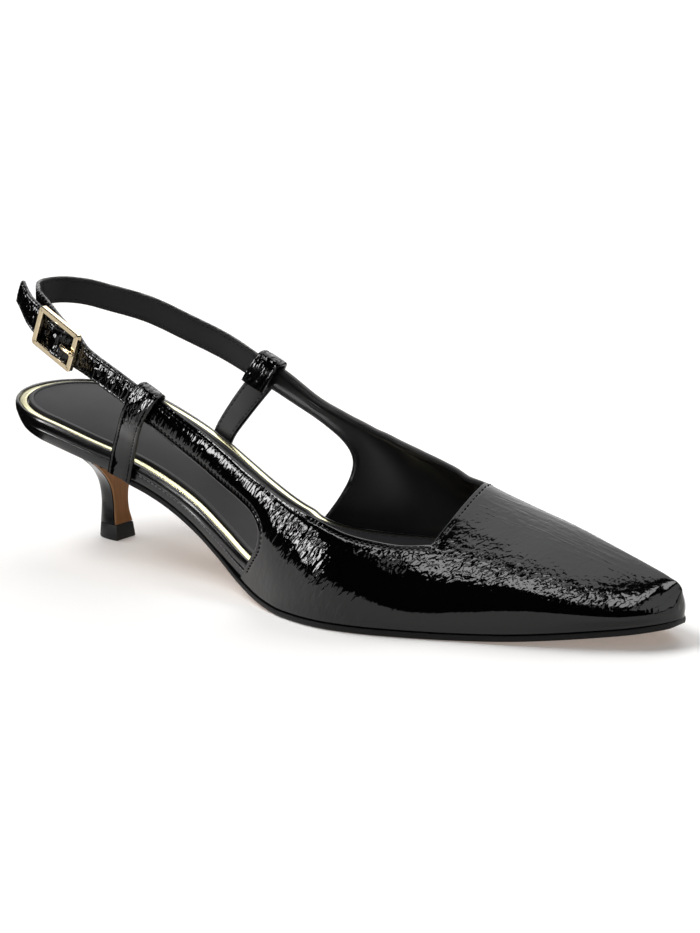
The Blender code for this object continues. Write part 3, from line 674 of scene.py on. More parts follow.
# %% Grid of the upper
EDGE_STEPS = np.array([0.0, 0.3, 0.6, 0.9, 1.2, 1.5, 1.8, 2.1, 2.6, 3.4])
MIDDLE_STEPS = 14
TOP_STEPS = 26
FOREPART_STEPS = 74
FOREPART_EASE = 1.3
FULL_RIB = 9.0


def upper_grid(side):
    """Places (x, v) of one side of the upper, rib by rib."""
    grid = []
    for rib in RIBS[side]:
        total = rib_run(rib, side)[1][-1]
        edge = EDGE_STEPS * min(1.0, total / FULL_RIB)
        middle = np.linspace(edge[-1], total - edge[-1], MIDDLE_STEPS + 2)[1:-1]
        grid.append(rib_at(rib, side, np.concatenate([edge, middle, (total - edge)[::-1]])))
    return np.array(grid)


def forepart_grid(side, throat_rib):
    """Places (x, v) from the throat to the toe; the first row goes on from the last rib to the ridge."""
    corner_x, corner_v = throat_rib[-1]
    top_v = np.linspace(corner_v, 1.0, TOP_STEPS + 1)[1:]
    top_x = corner_x + (THROAT_RIDGE_X - corner_x) * (top_v - corner_v) / (1 - corner_v)
    first = np.vstack([throat_rib, np.column_stack([top_x, top_v])])
    reach = LENGTH - THROAT_RIDGE_X
    eased = np.sin(np.linspace(0, pi / 2, FOREPART_STEPS)) ** FOREPART_EASE
    eased = np.delete(eased, -2)  # this row would touch the tip
    edge = EDGE_STEPS / reach
    shares = np.concatenate([edge, edge[-1] + (1 - edge[-1]) * eased[1:]])
    return np.array([np.column_stack([first[:, 0] + (LENGTH - first[:, 0]) * s, first[:, 1]])
                     for s in shares])


quarters = {side: upper_grid(side) for side in RIBS}
foreparts = {side: forepart_grid(side, quarters[side][-1]) for side in RIBS}
print("quarter grid", quarters[LATERAL].shape, "forepart grid", foreparts[LATERAL].shape)

# %% [markdown]
# Lasting pulls the leather smooth over the toe and leaves the crinkle strong on the quarter, along its
# topline and on the shoulder of the vamp. The folds lie beside the ridge. Each strength is a simple
# rule on x and v, so the two attributes are worked out for every point. A few soft creases are real
# troughs, listed one by one.

# %% Crinkle, folds and creases of the upper
CRINKLE_BASE = 0.13
SHOULDER_V = 0.49
SHOULDER_SPREAD = 0.12
SHOULDER_CRINKLE = 0.65
SHOULDER_LOSS = 0.5
SHOULDER_FADES = (215.0, 255.0)
BAND_FOOT = 174.0
BAND_SLANT = 79.0
BAND_HALF = 11.0
SIDE_CRINKLE = 0.8
SIDE_FADES = (166.0, 186.0)
SIDE_RISES = (0.24, 0.4)
FOLD_START = 186.0
FOLD_FADES = (232.0, 256.0)
FOLD_RIDGE = (0.86, 1.0)
Fold = namedtuple("Fold", "amount rises full_x ridge_loss")
FOLDS = {LATERAL: Fold(0.5, (0.7, 0.84), 196.0, 0.0), MEDIAL: Fold(1.0, (0.5, 0.62), 194.0, 0.75)}
CREASES = [  # side, start x, start v, end x, end v, width, depth
    (MEDIAL, 192.0, 0.80, 226.0, 0.74, 1.6, 0.20),
    (MEDIAL, 198.0, 0.86, 240.0, 0.80, 1.3, 0.16),
    (MEDIAL, 205.0, 0.72, 236.0, 0.69, 1.5, 0.16),
    (LATERAL, 191.0, 0.66, 210.0, 0.62, 1.8, 0.06),
    (LATERAL, 150.0, 0.36, 163.0, 0.20, 2.4, 0.22),
    (LATERAL, 140.0, 0.44, 150.0, 0.20, 2.4, 0.22),
]
CREASE_SAMPLES = 40


def crinkle_of(x, v):
    """Strength of the crinkle: full in a slanting band of the quarter, weak on smooth leather."""
    band = np.exp(-((x - BAND_FOOT + BAND_SLANT * v) / BAND_HALF) ** 2)
    upper_side = SIDE_CRINKLE * (1 - ramp(x, *SIDE_FADES)) * ramp(v, *SIDE_RISES)
    shoulder = np.exp(-((v - SHOULDER_V) / SHOULDER_SPREAD) ** 2)
    shoulder = SHOULDER_CRINKLE * shoulder * (1 - SHOULDER_LOSS * ramp(x, *SHOULDER_FADES))
    return CRINKLE_BASE + (1 - CRINKLE_BASE) * np.maximum(np.maximum(band, upper_side), shoulder)


def fold_of(x, v, side):
    """Strength of the fine folds: beside the ridge of the vamp."""
    fold = FOLDS[side]
    across = fold.amount * ramp(v, *fold.rises) * (1 - fold.ridge_loss * ramp(v, *FOLD_RIDGE))
    return across * ramp(x, FOLD_START, fold.full_x) * (1 - ramp(x, *FOLD_FADES))


def crease_depth(points, side):
    """Soft troughs, listed one by one, on one side."""
    depth = np.zeros(len(points))
    for at_side, x0, v0, x1, v1, width, deep in CREASES:
        if at_side != side:
            continue
        t = np.linspace(0, 1, CREASE_SAMPLES)
        line = last_point(x0 + (x1 - x0) * t, v0 + (v1 - v0) * t, side)
        away = np.linalg.norm(points[:, None, :] - line[None, :, :], axis=2)
        near = away.argmin(axis=1)
        fade = np.sin(pi * t[near]) ** 0.5
        depth += deep * fade * np.exp(-(away.min(axis=1) / width) ** 2)
    return depth


print("creases", len(CREASES))

# %% [markdown]
# The shell is put together from four grids. A search tree tells how far each point is from the nearest
# stitch row, which gives the groove and calms the crinkle at the edge. On the ridge both sides use one
# direction, so that their points still meet there. Solidify gives the wall, with the lining on its
# inside and a dark binding on its rim.

# %% Shell of the upper
ROW_GROOVE = 0.2
ROW_GROOVE_WIDTH = 0.5
EDGE_CALM = 0.3
EDGE_CALM_REACH = (0.8, 4.5)
SAFE_V = (0.012, 0.988)
SAFE_X = LENGTH - 0.5
ON_RIDGE = 0.9999
marks = KDTree(len(row_marks))
for i, mark in enumerate(row_marks):
    marks.insert(Vector(mark), i)
marks.balance()
points = []
faces = []
crinkle = []
fold = []
tip = sum(last_point(*foreparts[side][-1].T, side) for side in RIBS) / 2
grids = [(side, quarters[side]) for side in RIBS] + [(side, foreparts[side]) for side in RIBS]
for side, grid in grids:
    flat = grid.reshape(-1, 2)
    surface = last_point(flat[:, 0], flat[:, 1], side)
    away = np.array([marks.find(Vector(p))[2] for p in surface])
    sink = ROW_GROOVE * np.exp(-(away / ROW_GROOVE_WIDTH) ** 2) + crease_depth(surface, side)
    inner_v = np.clip(flat[:, 1], *SAFE_V)
    inner_x = np.minimum(flat[:, 0], SAFE_X)
    out = last_normal(inner_x, inner_v, side)
    ridge = flat[:, 1] > ON_RIDGE
    out[ridge] = (out[ridge] + last_normal(inner_x[ridge], inner_v[ridge], -side)) / 2
    surface = surface - out * sink[:, None]
    if grid is foreparts[side]:
        surface[-len(tip):] = tip
    faces += grid_faces(len(grid), grid.shape[1], start=len(points), flip=side == MEDIAL)
    points += list(surface)
    calm = EDGE_CALM + (1 - EDGE_CALM) * ramp(away, *EDGE_CALM_REACH)
    crinkle += list(crinkle_of(flat[:, 0], flat[:, 1]) * calm)
    fold += list(fold_of(flat[:, 0], flat[:, 1], side))
upper = add_piece("upper_patent", points, faces,
                  ["crinkled_patent_leather", "lining_microfibre", "dark_binding"],
                  crinkle=crinkle, fold=fold)
shell = upper.modifiers.new("wall", "SOLIDIFY")
shell.thickness = WALL * MM
shell.offset = -1.0
shell.material_offset = 1
shell.material_offset_rim = 2
attach(bake(upper), "upper")

# %% [markdown]
# A strap is two layers stitched near both edges: the face is a little full between the rows, dips where
# the thread pulls, and rolls over at the edge. That cross-section is swept along the strap's middle
# line. The back of the strap is the matte lining.

# %% Straps
FACE_PROFILE = [(0.0, 0.0), (0.1, 0.42), (0.35, 0.72), (0.75, 0.82), (1.1, 0.76), (1.35, 0.68),
                (1.6, 0.76), (2.1, 0.86), (3.2, 0.92)]
BACK_PROFILE = [(0.12, 0.45), (0.4, 0.78), (0.9, 0.85), (1.35, 0.77), (1.8, 0.85), (3.2, 0.88)]
STRAP_ROW = 1.35
STRAP_THICK = 1.7
FACE_STITCH = 0.72
BACK_STITCH = 0.82


def ribbon_section(half, scale):
    """Ring of (across, out) of a strap, face first, then its lining back."""
    face = [(half - inset, lift * scale) for inset, lift in FACE_PROFILE]
    back = [(half - inset, -lift * scale) for inset, lift in BACK_PROFILE]
    ring = [(-a, b) for a, b in face] + [(a, b) for a, b in reversed(face)]
    return ring + back + [(-a, b) for a, b in reversed(back)]


def frames(middle, across):
    """Unit vectors across and outwards along a strap."""
    return unit_rows(across), unit_rows(np.cross(across, np.gradient(middle, axis=0)))


def make_ribbon(name, middle, across, thick, crinkle):
    """Strap along a middle line; across is half its width as a vector."""
    unit, out = frames(middle, across)
    half = np.linalg.norm(across, axis=1)
    scale = thick / STRAP_THICK
    rings = np.array([[m + u * a + o * b for a, b in ribbon_section(h, scale)]
                      for m, u, o, h in zip(middle, unit, out, half)])
    rows, size = rings.shape[:2]
    faces = grid_faces(rows, size, ring=True, flip=True) + end_faces(rows, size)
    back_start = 2 * len(FACE_PROFILE) + 1
    finish_of = [int(back_start <= j < size - 2) for j in range(size)] * (rows - 1) + [0, 0]
    for sign in (-1, 1):
        place = unit * (sign * (half - STRAP_ROW))[:, None]
        stitch_rows.append((middle + place + out * (FACE_STITCH * scale))[1:-1])
        stitch_rows.append((middle + place - out * (BACK_STITCH * scale))[1:-1])
    return add_piece(name, rings.reshape(-1, 3), faces,
                     ["crinkled_patent_leather", "strap_lining_microfibre"], finish_of,
                     crinkle=np.repeat(np.broadcast_to(crinkle, rows), size))


def upright(middle, width):
    """Half width vectors of a strap that stands on edge."""
    ahead = unit_rows(np.gradient(middle, axis=0))
    return unit_rows(np.array([0.0, 0.0, 1.0]) - ahead * ahead[:, 2:3]) * (width / 2)[:, None]


print("strap section", len(ribbon_section(4.5, 1.0)), "points")

# %% [markdown]
# The lateral strap comes up from the quarter, goes under the front bar of the buckle, over the centre
# bar and under the back bar, and ends in a free tail. The other strap goes round the heel. Each is a
# table of places and widths, and the places in the buckle are given in the buckle's own directions.

# %% Both straps
BUCKLE_CENTRE = Vector((36.1, -27.0, 74.2))
BUCKLE_ALONG = Vector((0.914, -0.095, -0.395)).normalized()
BUCKLE_UP = (Vector((0, 0, 1)) - BUCKLE_ALONG * BUCKLE_ALONG.z).normalized()
BUCKLE_TURN = Matrix((BUCKLE_ALONG, BUCKLE_UP, BUCKLE_ALONG.cross(BUCKLE_UP))).transposed()
BUCKLE_STRAP_FRONT = [  # x, y, z, width
    (77.1, -30.4, 57.9, 9.0),
    (66.0, -30.2, 62.9, 9.1),
    (55.0, -29.2, 67.1, 9.4),
]
BUCKLE_PASS = [  # along the buckle, up, outwards from its middle, width
    (9.8, -0.7, -2.1, 10.8),
    (7.8, -0.5, -1.95, 11.2),
    (3.4, 0.0, 0.2, 10.8),
    (0.0, 0.0, 1.05, 10.8),
    (-3.4, -0.2, 0.2, 11.0),
    (-7.8, -0.9, -1.95, 12.0),
    (-9.8, -0.7, -2.1, 11.2),
]
BUCKLE_STRAP_TAIL = [
    (20.6, -22.8, 81.4, 9.9),
    (13.4, -19.7, 86.6, 9.8),
]
SLING_STRAP = [
    (38.4, -23.6, 72.4, 11.6),
    (31.0, -20.7, 75.5, 11.2),
    (22.2, -16.4, 79.3, 10.0),
    (12.6, -10.3, 81.9, 9.4),
    (8.0, -3.6, 83.0, 9.2),
    (10.2, 2.4, 83.2, 9.2),
    (16.4, 7.6, 82.5, 9.2),
    (25.0, 12.4, 80.2, 9.3),
    (36.8, 18.2, 76.7, 9.3),
    (50.0, 23.2, 71.0, 9.3),
    (64.0, 27.6, 64.8, 9.2),
    (76.7, 30.0, 58.3, 8.6),
]
STRAP_STEPS = 150
STRAP_CRINKLE = 1.8


def in_buckle(along, across, out):
    """Point given in the buckle's own axes."""
    return BUCKLE_CENTRE + BUCKLE_TURN @ Vector((along, across, out))


through = [(*in_buckle(along, up, out), width) for along, up, out, width in BUCKLE_PASS]
buckle_run = path_run(BUCKLE_STRAP_FRONT + through + BUCKLE_STRAP_TAIL, STRAP_STEPS)
sling_run = path_run(SLING_STRAP, STRAP_STEPS)
straps = []
for name, run in (("buckle_strap", buckle_run), ("sling_strap", sling_run)):
    middle = run[:, :3]
    strap = make_ribbon(name + "_leather", middle, upright(middle, run[:, 3]), STRAP_THICK, STRAP_CRINKLE)
    attach(strap, name)
    straps.append(strap)

# %% [markdown]
# A stay stands on the side of the insole unit, so the edge of that unit comes first. It shows at the
# waist and the heel, and further forward it lies inside the upper.

# %% Edge of the insole unit
WAIST_SHOWN = 0.2
RAND_CLEAR = 0.6
RAND_HIDES = {LATERAL: (122.0, 128.0), MEDIAL: (107.0, 112.0)}
RAND_DRAWS_IN = 22.0
RAND_DRAW = 0.7
RAND_NARROWS = (225.0, 252.0)
RAND_TOE_INSET = 1.6
INSET_LIMIT = 0.8


def rand_outline(x):
    """Lateral and medial edge of the insole unit."""
    lat, med = outline(x)
    hidden = LEDGE + WALL + RAND_CLEAR + RAND_TOE_INSET * ramp(x, *RAND_NARROWS)
    inset = {}
    for side, (start, end) in RAND_HIDES.items():
        shown = WAIST_SHOWN + RAND_DRAW * ramp(x, start - RAND_DRAWS_IN, start)
        inset[side] = shown + (hidden - shown) * ramp(x, start, end)
    return (lat + np.minimum(inset[LATERAL], INSET_LIMIT * np.abs(lat - TOE_Y)),
            med - np.minimum(inset[MEDIAL], INSET_LIMIT * np.abs(med - TOE_Y)))


print("insole unit at x = 80:", [edge.round(1) for edge in rand_outline(80.0)])

# %% [markdown]
# A stay is a strip from there up to the strap, where it folds into a loop round it and is sewn down on
# its own back. It is made the same way as a strap, along its own middle line.

# %% Stays
STAY_THICK = 1.5
STAY_WIDTH = 9.6
STAY_FOOT = Table("side x lean mid_x mid_y mid_z twist loop_x loop_y slant", [
    (-1.0, 61.8, 0.8, 66.8, -27.7, 44.2, 0.0, 77.2, -30.4, -0.03),
    (1.0, 63.2, 1.6, 68.5, 27.9, 43.6, -0.06, 78.1, 30.2, 0.08),
])
STAY_LOOP = [  # along the strap's width, outwards from its middle
    (-9.0, 0.9),
    (-4.8, 2.15),
    (4.5, 2.15),
    (6.0, 1.6),
    (6.5, 0.0),
    (6.0, -1.6),
    (4.5, -2.15),
    (-4.8, -2.3),
    (-6.2, -2.2),
]
STAY_STEPS = 120
STAY_CRINKLE = (0.06, 1.5)
STAY_CRINKLES = (0.4, 0.52)
FLAP_ROW = 4
FLAP_SAMPLES = 12
LOOP_Z = 57.7
LOOP_UP = Vector((0.6, 0.0, 0.8))
LOOP_DIP = -0.44
MIDDLE_DIP = -0.4


def stay_run(side):
    """Middle line and width direction of one stay."""
    place = STAY_FOOT.row(*[float(c[0]) for c in STAY_FOOT.at(side)])
    end = 0 if side == LATERAL else 1
    edge = float(rand_outline(place.x)[end][0])
    ahead = float(rand_outline(place.x + 1)[end][0])
    clear = edge + side * (GAP + STAY_THICK / 2 + WAIST_SHOWN)
    foot_z = float(insole_base(place.x, edge)[0])
    rim_z = foot_z + float(SOLE.at(place.x).rand[0])
    next_z = float(insole_base(place.x + 1, ahead)[0] + SOLE.at(place.x + 1).rand[0])
    foot_across = Vector((1, ahead - edge, next_z - rim_z)).normalized()
    rows = [(place.x + step, clear, z, *foot_across) for step, z in
            ((-place.lean, foot_z), (0.0, (foot_z + rim_z) / 2), (place.lean, rim_z))]
    rows.append((place.mid_x, place.mid_y, place.mid_z, *Vector((1, place.twist, MIDDLE_DIP)).normalized()))
    for up, away in STAY_LOOP:
        point = Vector((place.loop_x, place.loop_y + side * away, LOOP_Z)) + LOOP_UP * up
        rows.append((*point, *Vector((1, place.slant, LOOP_DIP)).normalized()))
    return path_run(rows, STAY_STEPS)


for side, name in ((LATERAL, "stay_lateral"), (MEDIAL, "stay_medial")):
    run = stay_run(side)
    across = unit_rows(run[:, 3:]) * (-STAY_WIDTH / 2 * side)
    loop_share = ramp(np.linspace(0, 1, STAY_STEPS), *STAY_CRINKLES)
    crinkle = STAY_CRINKLE[0] + (STAY_CRINKLE[1] - STAY_CRINKLE[0]) * loop_share
    stay = make_ribbon(name + "_leather", run[:, :3], across, STAY_THICK, crinkle)
    unit, out = frames(run[:, :3], across)
    reach = STAY_WIDTH / 2 - STRAP_ROW
    flap = run[-FLAP_ROW, :3] + unit[-FLAP_ROW] * np.linspace(-reach, reach, FLAP_SAMPLES)[:, None]
    stitch_rows.append(flap + out[-FLAP_ROW] * (FACE_STITCH * STAY_THICK / STRAP_THICK))
    attach(stay, name)
    straps.append(stay)

# %% [markdown]
# The insole unit, the sock and the outsole are plates with a shaped side. The profile of that side is
# carried round the plate's edge as a stack of rings, and faces across the shoe close the top and the
# underside. Near the toe, where the plate is narrow, the rings are kept from crossing its middle.

# %% Plates
HEEL_STATIONS = 40
MIDDLE_STATIONS = 150
TOE_STATIONS = 24
TOE_TURN = 1.42
STATION_ROOM = (0.3, 0.2)
LEAST_ROOM = 0.05


def stations(start, end):
    """Places along the shoe, closer together round the heel and the toe."""
    places = [start]
    if start < HEEL_CENTRE:
        heel = np.linspace(0, pi / 2, HEEL_STATIONS)
        places = [HEEL_CENTRE - (HEEL_CENTRE - start) * cos(a) for a in heel]
    middle = list(np.linspace(HEEL_CENTRE, TOE_START, MIDDLE_STATIONS))
    toe = [TOE_START + (LENGTH - TOE_START) * sin(a) for a in np.linspace(0, TOE_TURN, TOE_STATIONS)]
    places += [x for x in middle + toe[1:] if places[-1] + STATION_ROOM[0] < x < end - STATION_ROOM[1]]
    return np.array(places + [end])


def rim_line(edges, span):
    """Closed line round a plate: up the lateral edge and back along the medial one."""
    x = stations(*span)
    lat, med = edges(x)
    return np.vstack([np.column_stack([x, lat]), np.column_stack([x, med])[::-1]])


def ahead_of(line):
    """Direction of a closed line at each of its points."""
    return np.roll(line, -1, axis=0) - np.roll(line, 1, axis=0)


def make_plate(name, edges, base, thick, profile, span, finishes, tuck=np.zeros_like):
    """Plate with a shaped side, swept round its edge; the last finish is its underside."""
    line = rim_line(edges, span)
    ahead = unit_rows(ahead_of(line))
    inward = np.column_stack([-ahead[:, 1], ahead[:, 0]])
    count = len(line)
    half = np.abs(line[:, 1] - line[::-1, 1]) / 2
    room = np.where(line[:, 0] < HEEL_CENTRE, HEEL_CENTRE, INSET_LIMIT * half + LEAST_ROOM)
    rings = []
    for inset, share in profile:
        inset = inset + tuck(line[:, 0]) * (1 - share) ** 2
        at = line + inward * np.minimum(inset, room)[:, None]
        rings.append(np.column_stack([at, base(at[:, 0], at[:, 1]) + share * thick(at[:, 0])]))
    faces = grid_faces(len(rings), count, ring=True)
    finish_of = [0] * len(faces)
    last = (len(rings) - 1) * count
    for i in range(count // 2 - 1):
        j = count - 1 - i
        faces.append([i + 1, i, j, j - 1])
        finish_of.append(len(finishes) - 1)
        faces.append([last + i, last + i + 1, last + j - 1, last + j])
        finish_of.append(0)
    return add_piece(name, np.vstack(rings), faces, finishes, finish_of, sharp=40)


print("stations round a full plate", len(stations(0.0, LENGTH)))

# %% [markdown]
# The outsole starts just in front of the heel and runs to the toe. Its edge is painted, and it shows
# below the upper. The insole unit is wrapped in cover leather: the profile of its side has the wall, a
# seam and a rolled edge above, and under the heel seat the wall is drawn in.

# %% Outsole and insole unit
OUTSOLE_BACK = 48.4
OUTSOLE_FRONT = LENGTH - 0.7
OUTSOLE_TUCK = 4.5
OUTSOLE_SHOWN_X = 66.0
OUTSOLE_EDGE = [(0.7, 0.0), (0.35, 0.06), (0.1, 0.2), (0.0, 0.4), (0.0, 0.7), (0.06, 0.94), (0.2, 1.0)]
SEAT_SHARE = 0.84
RAND_ROW_START = 69.0
RAND_ROW_SHARE = 0.47
RAND_ROW_INSET = 0.12
RAND_ROW_SAMPLES = 60
RAND_SEAM = 0.56
RAND_SPAN = (0.05, LENGTH - 10.0)
RAND_EDGE = [(1.0, 0.0), (0.3, 0.0), (0.16, 0.04), (0.12, 0.2), (0.12, 0.4), (0.14, 0.5), (0.32, 0.53),
             (0.36, RAND_SEAM), (0.12, 0.585), (0.08, 0.62), (0.18, 0.74), (0.3, 0.86), (0.5, 0.94),
             (0.78, 0.985), (1.15, 1.0), (1.45, 0.985), (1.6, 0.94), (1.65, SEAT_SHARE)]
HEEL_TUCK = 2.4
HEEL_TUCK_ENDS = (18.0, 60.0)


def heel_tuck(x):
    """How far the foot of the rand is drawn in under the heel seat."""
    return HEEL_TUCK * (1 - ramp(x, *HEEL_TUCK_ENDS))


def outsole_outline(x):
    """Edge of the outsole: tucked in under the heel seat, full width from the waist on."""
    lat, med = outline(x)
    tuck = OUTSOLE_TUCK * (1 - ramp(x, OUTSOLE_BACK, OUTSOLE_SHOWN_X))
    return lat + tuck, med - tuck


outsole = make_plate("outsole_sheet", outsole_outline, lambda x, y: insole_base(x, y) - OUTSOLE_THICK - GAP,
                     lambda x: np.full(len(x), OUTSOLE_THICK), OUTSOLE_EDGE, (OUTSOLE_BACK, OUTSOLE_FRONT),
                     ["black_edge_paint", "tan_sole_sheet"])
attach(outsole, "outsole")
rand = make_plate("rand_patent", rand_outline, insole_base, lambda x: SOLE.at(x).rand, RAND_EDGE,
                  RAND_SPAN, ["smooth_cover_leather"], heel_tuck)
attach(rand, "insole_rand")
rand_rows = []
for side, (start, end) in RAND_HIDES.items():
    x = np.linspace(RAND_ROW_START, start, RAND_ROW_SAMPLES)
    y = rand_outline(x)[0 if side == LATERAL else 1] - side * RAND_ROW_INSET
    rand_rows.append(np.column_stack([x, y, insole_base(x, y) + RAND_ROW_SHARE * SOLE.at(x).rand]))

# %% [markdown]
# On the insole lie, from the rim inwards, the gold tape, a dark bound edge with its stitches, and the
# sock. Tape and binding are closed loops: a small cross-section carried round the rim.

# %% Sock, gold tape and binding
SOCK_INSET = 5.0
SOCK_THICK = 1.2
SOCK_EDGE = [(0.0, 0.0), (0.0, 0.55), (0.15, 0.85), (0.5, 1.0), (1.2, 1.02), (1.7, 0.9), (2.2, 1.0)]
BAND_START = 0.15
TAPE_INSET = 3.1
TAPE_HALF = 1.28
TAPE_RISE = 0.35
BINDING_INSET = SOCK_INSET + 0.75
BINDING_HALF = 0.8
BINDING_RISE = 0.25
BAND_SIDES = 12
BAND_SQUARE = 0.45
SOCK_ROW = SOCK_INSET + 1.7
SOCK_ROW_SHARE = 0.92
TOE_ENDS = {"tape": LENGTH - 15.0, "sock": LENGTH - 20.0, "binding": LENGTH - 21.0, "row": LENGTH - 24.0}


def inner_edges(x, inset):
    """Edges of the insole's top, drawn in by an inset."""
    lat, med = rand_outline(x)
    step = np.minimum(inset, INSET_LIMIT * (med - lat) / 2)
    share = np.clip((HEEL_CENTRE - x) / (HEEL_CENTRE - inset), 0.0, 1.0)
    half = (HEEL_RADIUS - WAIST_SHOWN - inset) * np.sqrt(1.0 - share**2)
    return np.where(x < HEEL_CENTRE, -half, lat + step), np.where(x < HEEL_CENTRE, half, med - step)


def insole_seat(x, y):
    """Top of the insole inside its raised edge."""
    return insole_base(x, y) + SEAT_SHARE * SOLE.at(x).rand


def rim_loop(inset, end):
    """Closed line on the insole at an inset from its edge."""
    line = rim_line(lambda x: inner_edges(x, inset), (inset + BAND_START, end))
    return np.column_stack([line, insole_seat(line[:, 0], line[:, 1])])


def make_band(name, line, half, rise, lift, finish_name):
    """Low rounded band along a closed line."""
    ahead = ahead_of(line)
    side = unit_rows(np.cross(ahead, (0.0, 0.0, 1.0)))
    up = unit_rows(np.cross(side, ahead))
    rings = []
    for a in turns(BAND_SIDES):
        high = lift + rise * np.sign(sin(a)) * abs(sin(a)) ** BAND_SQUARE
        rings.append(line + side * (half * cos(a)) + up * high)
    rings = np.stack(rings, axis=1)
    faces = grid_faces(rings.shape[0], rings.shape[1], ring=True, loop=True)
    return add_piece(name, rings.reshape(-1, 3), faces, [finish_name])


tape = make_band("gold_tape", rim_loop(TAPE_INSET, TOE_ENDS["tape"]), TAPE_HALF, TAPE_RISE,
                 GAP + TAPE_RISE, "gold_foil_tape")
attach(tape, "gold_piping")
sock = make_plate("sock_sheet", lambda x: inner_edges(x, SOCK_INSET), lambda x, y: insole_seat(x, y) + GAP,
                  lambda x: np.full(len(x), SOCK_THICK), SOCK_EDGE,
                  (SOCK_INSET + BAND_START, TOE_ENDS["sock"]), ["sock_satin_microfibre"])
attach(sock, "sock")
row = rim_loop(SOCK_ROW, TOE_ENDS["row"])
row[:, 2] += GAP + SOCK_ROW_SHARE * SOCK_THICK
stitch_rows.append(np.vstack([row, row[:1]]))
binding = make_band("sock_binding", rim_loop(BINDING_INSET, TOE_ENDS["binding"]), BINDING_HALF,
                    BINDING_RISE, GAP + SOCK_THICK, "dark_binding")
attach(binding, None)

# %% [markdown]
# The heel is a plastic core wrapped in cover leather: slim at the floor, flaring to the seat, round
# behind and flat in front. The rings of the solid are repeated with more steps. Its front has a brown
# leather cover of its own, and it stands on the rubber top piece.

# %% Heel
TOP_PIECE_HEIGHT = 5.2
TOP_PIECE_GROW = 0.5
BREAST_THICK = 0.8
BREAST_INSET = 0.15
HEEL_STEPS = 60
HEEL_ARC = 41
HEEL_FULLNESS = 0.8
TOP_PIECE_RINGS = [  # height, growth beyond the heel's foot
    (0.0, TOP_PIECE_GROW - 0.15),
    (0.3, TOP_PIECE_GROW),
    (TOP_PIECE_HEIGHT - 0.3, 0.05),
    (TOP_PIECE_HEIGHT, -0.1),
]
HEEL = Table("rise back front half", [
    (0.00, 29.2, 38.2, 4.2),
    (0.10, 29.5, 37.6, 3.7),
    (0.28, 29.5, 37.2, 3.4),
    (0.45, 28.0, 37.2, 4.2),
    (0.60, 24.6, 37.5, 6.6),
    (0.72, 19.8, 38.2, 10.0),
    (0.83, 14.4, 39.6, 14.2),
    (0.92, 9.2, 42.0, 18.6),
    (1.00, 5.0, 46.6, 21.6),
])


def heel_ring(back, front, half):
    """D-shaped ring in plan: a round back and a flat front."""
    a = np.linspace(-pi / 2, pi / 2, HEEL_ARC)
    deep = (front - back) * np.cos(a).clip(0) ** HEEL_FULLNESS
    return np.column_stack([front - deep, half * np.sin(a)])


def loft(name, rings, finish_name, sharp=50):
    """Closed piece through rings of equal size, with flat ends."""
    rings = np.array([np.array(ring, float) for ring in rings])
    rows, size = rings.shape[:2]
    faces = grid_faces(rows, size, ring=True) + end_faces(rows, size)
    return add_piece(name, rings.reshape(-1, 3), faces, [finish_name], sharp=sharp)


foot = TOP_PIECE_HEIGHT + GAP
seat = heel_ring(*HEEL.data[-1, 1:])
seat_z = insole_base(seat[:, 0], seat[:, 1]) - GAP
ribs = []
breast = []
for t in np.linspace(0, 1, HEEL_STEPS):
    row = HEEL.at(t)
    plan = heel_ring(row.back[0], row.front[0], row.half[0])
    ribs.append(np.column_stack([plan, foot + t * (seat_z - foot)]))
    start = ribs[-1][0] + (GAP, BREAST_INSET, 0)
    end = ribs[-1][-1] + (GAP, -BREAST_INSET, 0)
    breast.append([start, end, end + (BREAST_THICK, 0, 0), start + (BREAST_THICK, 0, 0)])
for corner in breast[-1]:
    corner[2] -= GAP
attach(loft("heel_cover", ribs, "heel_cover_leather"), "heel")
attach(loft("breast_cover", breast, "brown_breast_leather"), "heel_breast")
_, tip_back, tip_front, tip_half = HEEL.data[0]
rings = []
for z, grow in TOP_PIECE_RINGS:
    plan = heel_ring(tip_back - grow, tip_front + GAP + BREAST_THICK + grow, tip_half + grow)
    rings.append(np.column_stack([plan, np.full(len(plan), z)]))
attach(loft("top_piece_rubber", rings, "black_top_rubber", sharp=35), "top_piece")

# %% [markdown]
# The buckle is cast and polished: its edges are bevelled, so each bar shows a bright line. The bevelled
# section goes round a rectangle with small corners, and a round bar crosses its middle.

# %% Buckle
BUCKLE_LENGTH = 20.4
BUCKLE_WIDTH = 14.6
BUCKLE_BAR = 2.0
BAR_BEVEL = 0.3
CORNER_ROUND = 0.3
CORNER_STEPS = 5
CENTRE_BAR = 1.5
CENTRE_BAR_DROP = 1.0
CENTRE_BAR_SUNK = 0.3
ROD_SIDES = 12
half_bar = BUCKLE_BAR / 2
flat = half_bar - BAR_BEVEL
section = [(half_bar, flat), (flat, half_bar), (-flat, half_bar), (-half_bar, flat),
           (-half_bar, -flat), (-flat, -half_bar), (flat, -half_bar), (half_bar, -flat)]
reach = (BUCKLE_LENGTH / 2 - half_bar - CORNER_ROUND, BUCKLE_WIDTH / 2 - half_bar - CORNER_ROUND)
rings = []
for quarter, (sx, sy) in enumerate(((1, 1), (-1, 1), (-1, -1), (1, -1))):
    for a in np.linspace(0, pi / 2, CORNER_STEPS):
        turn = a + quarter * pi / 2
        rings.append([in_buckle(sx * reach[0] + (CORNER_ROUND + n) * cos(turn),
                                sy * reach[1] + (CORNER_ROUND + n) * sin(turn), z) for n, z in section])
rings = np.array(rings)
faces = grid_faces(len(rings), len(section), ring=True, loop=True)
bar_reach = BUCKLE_WIDTH / 2 - BUCKLE_BAR + CENTRE_BAR_SUNK
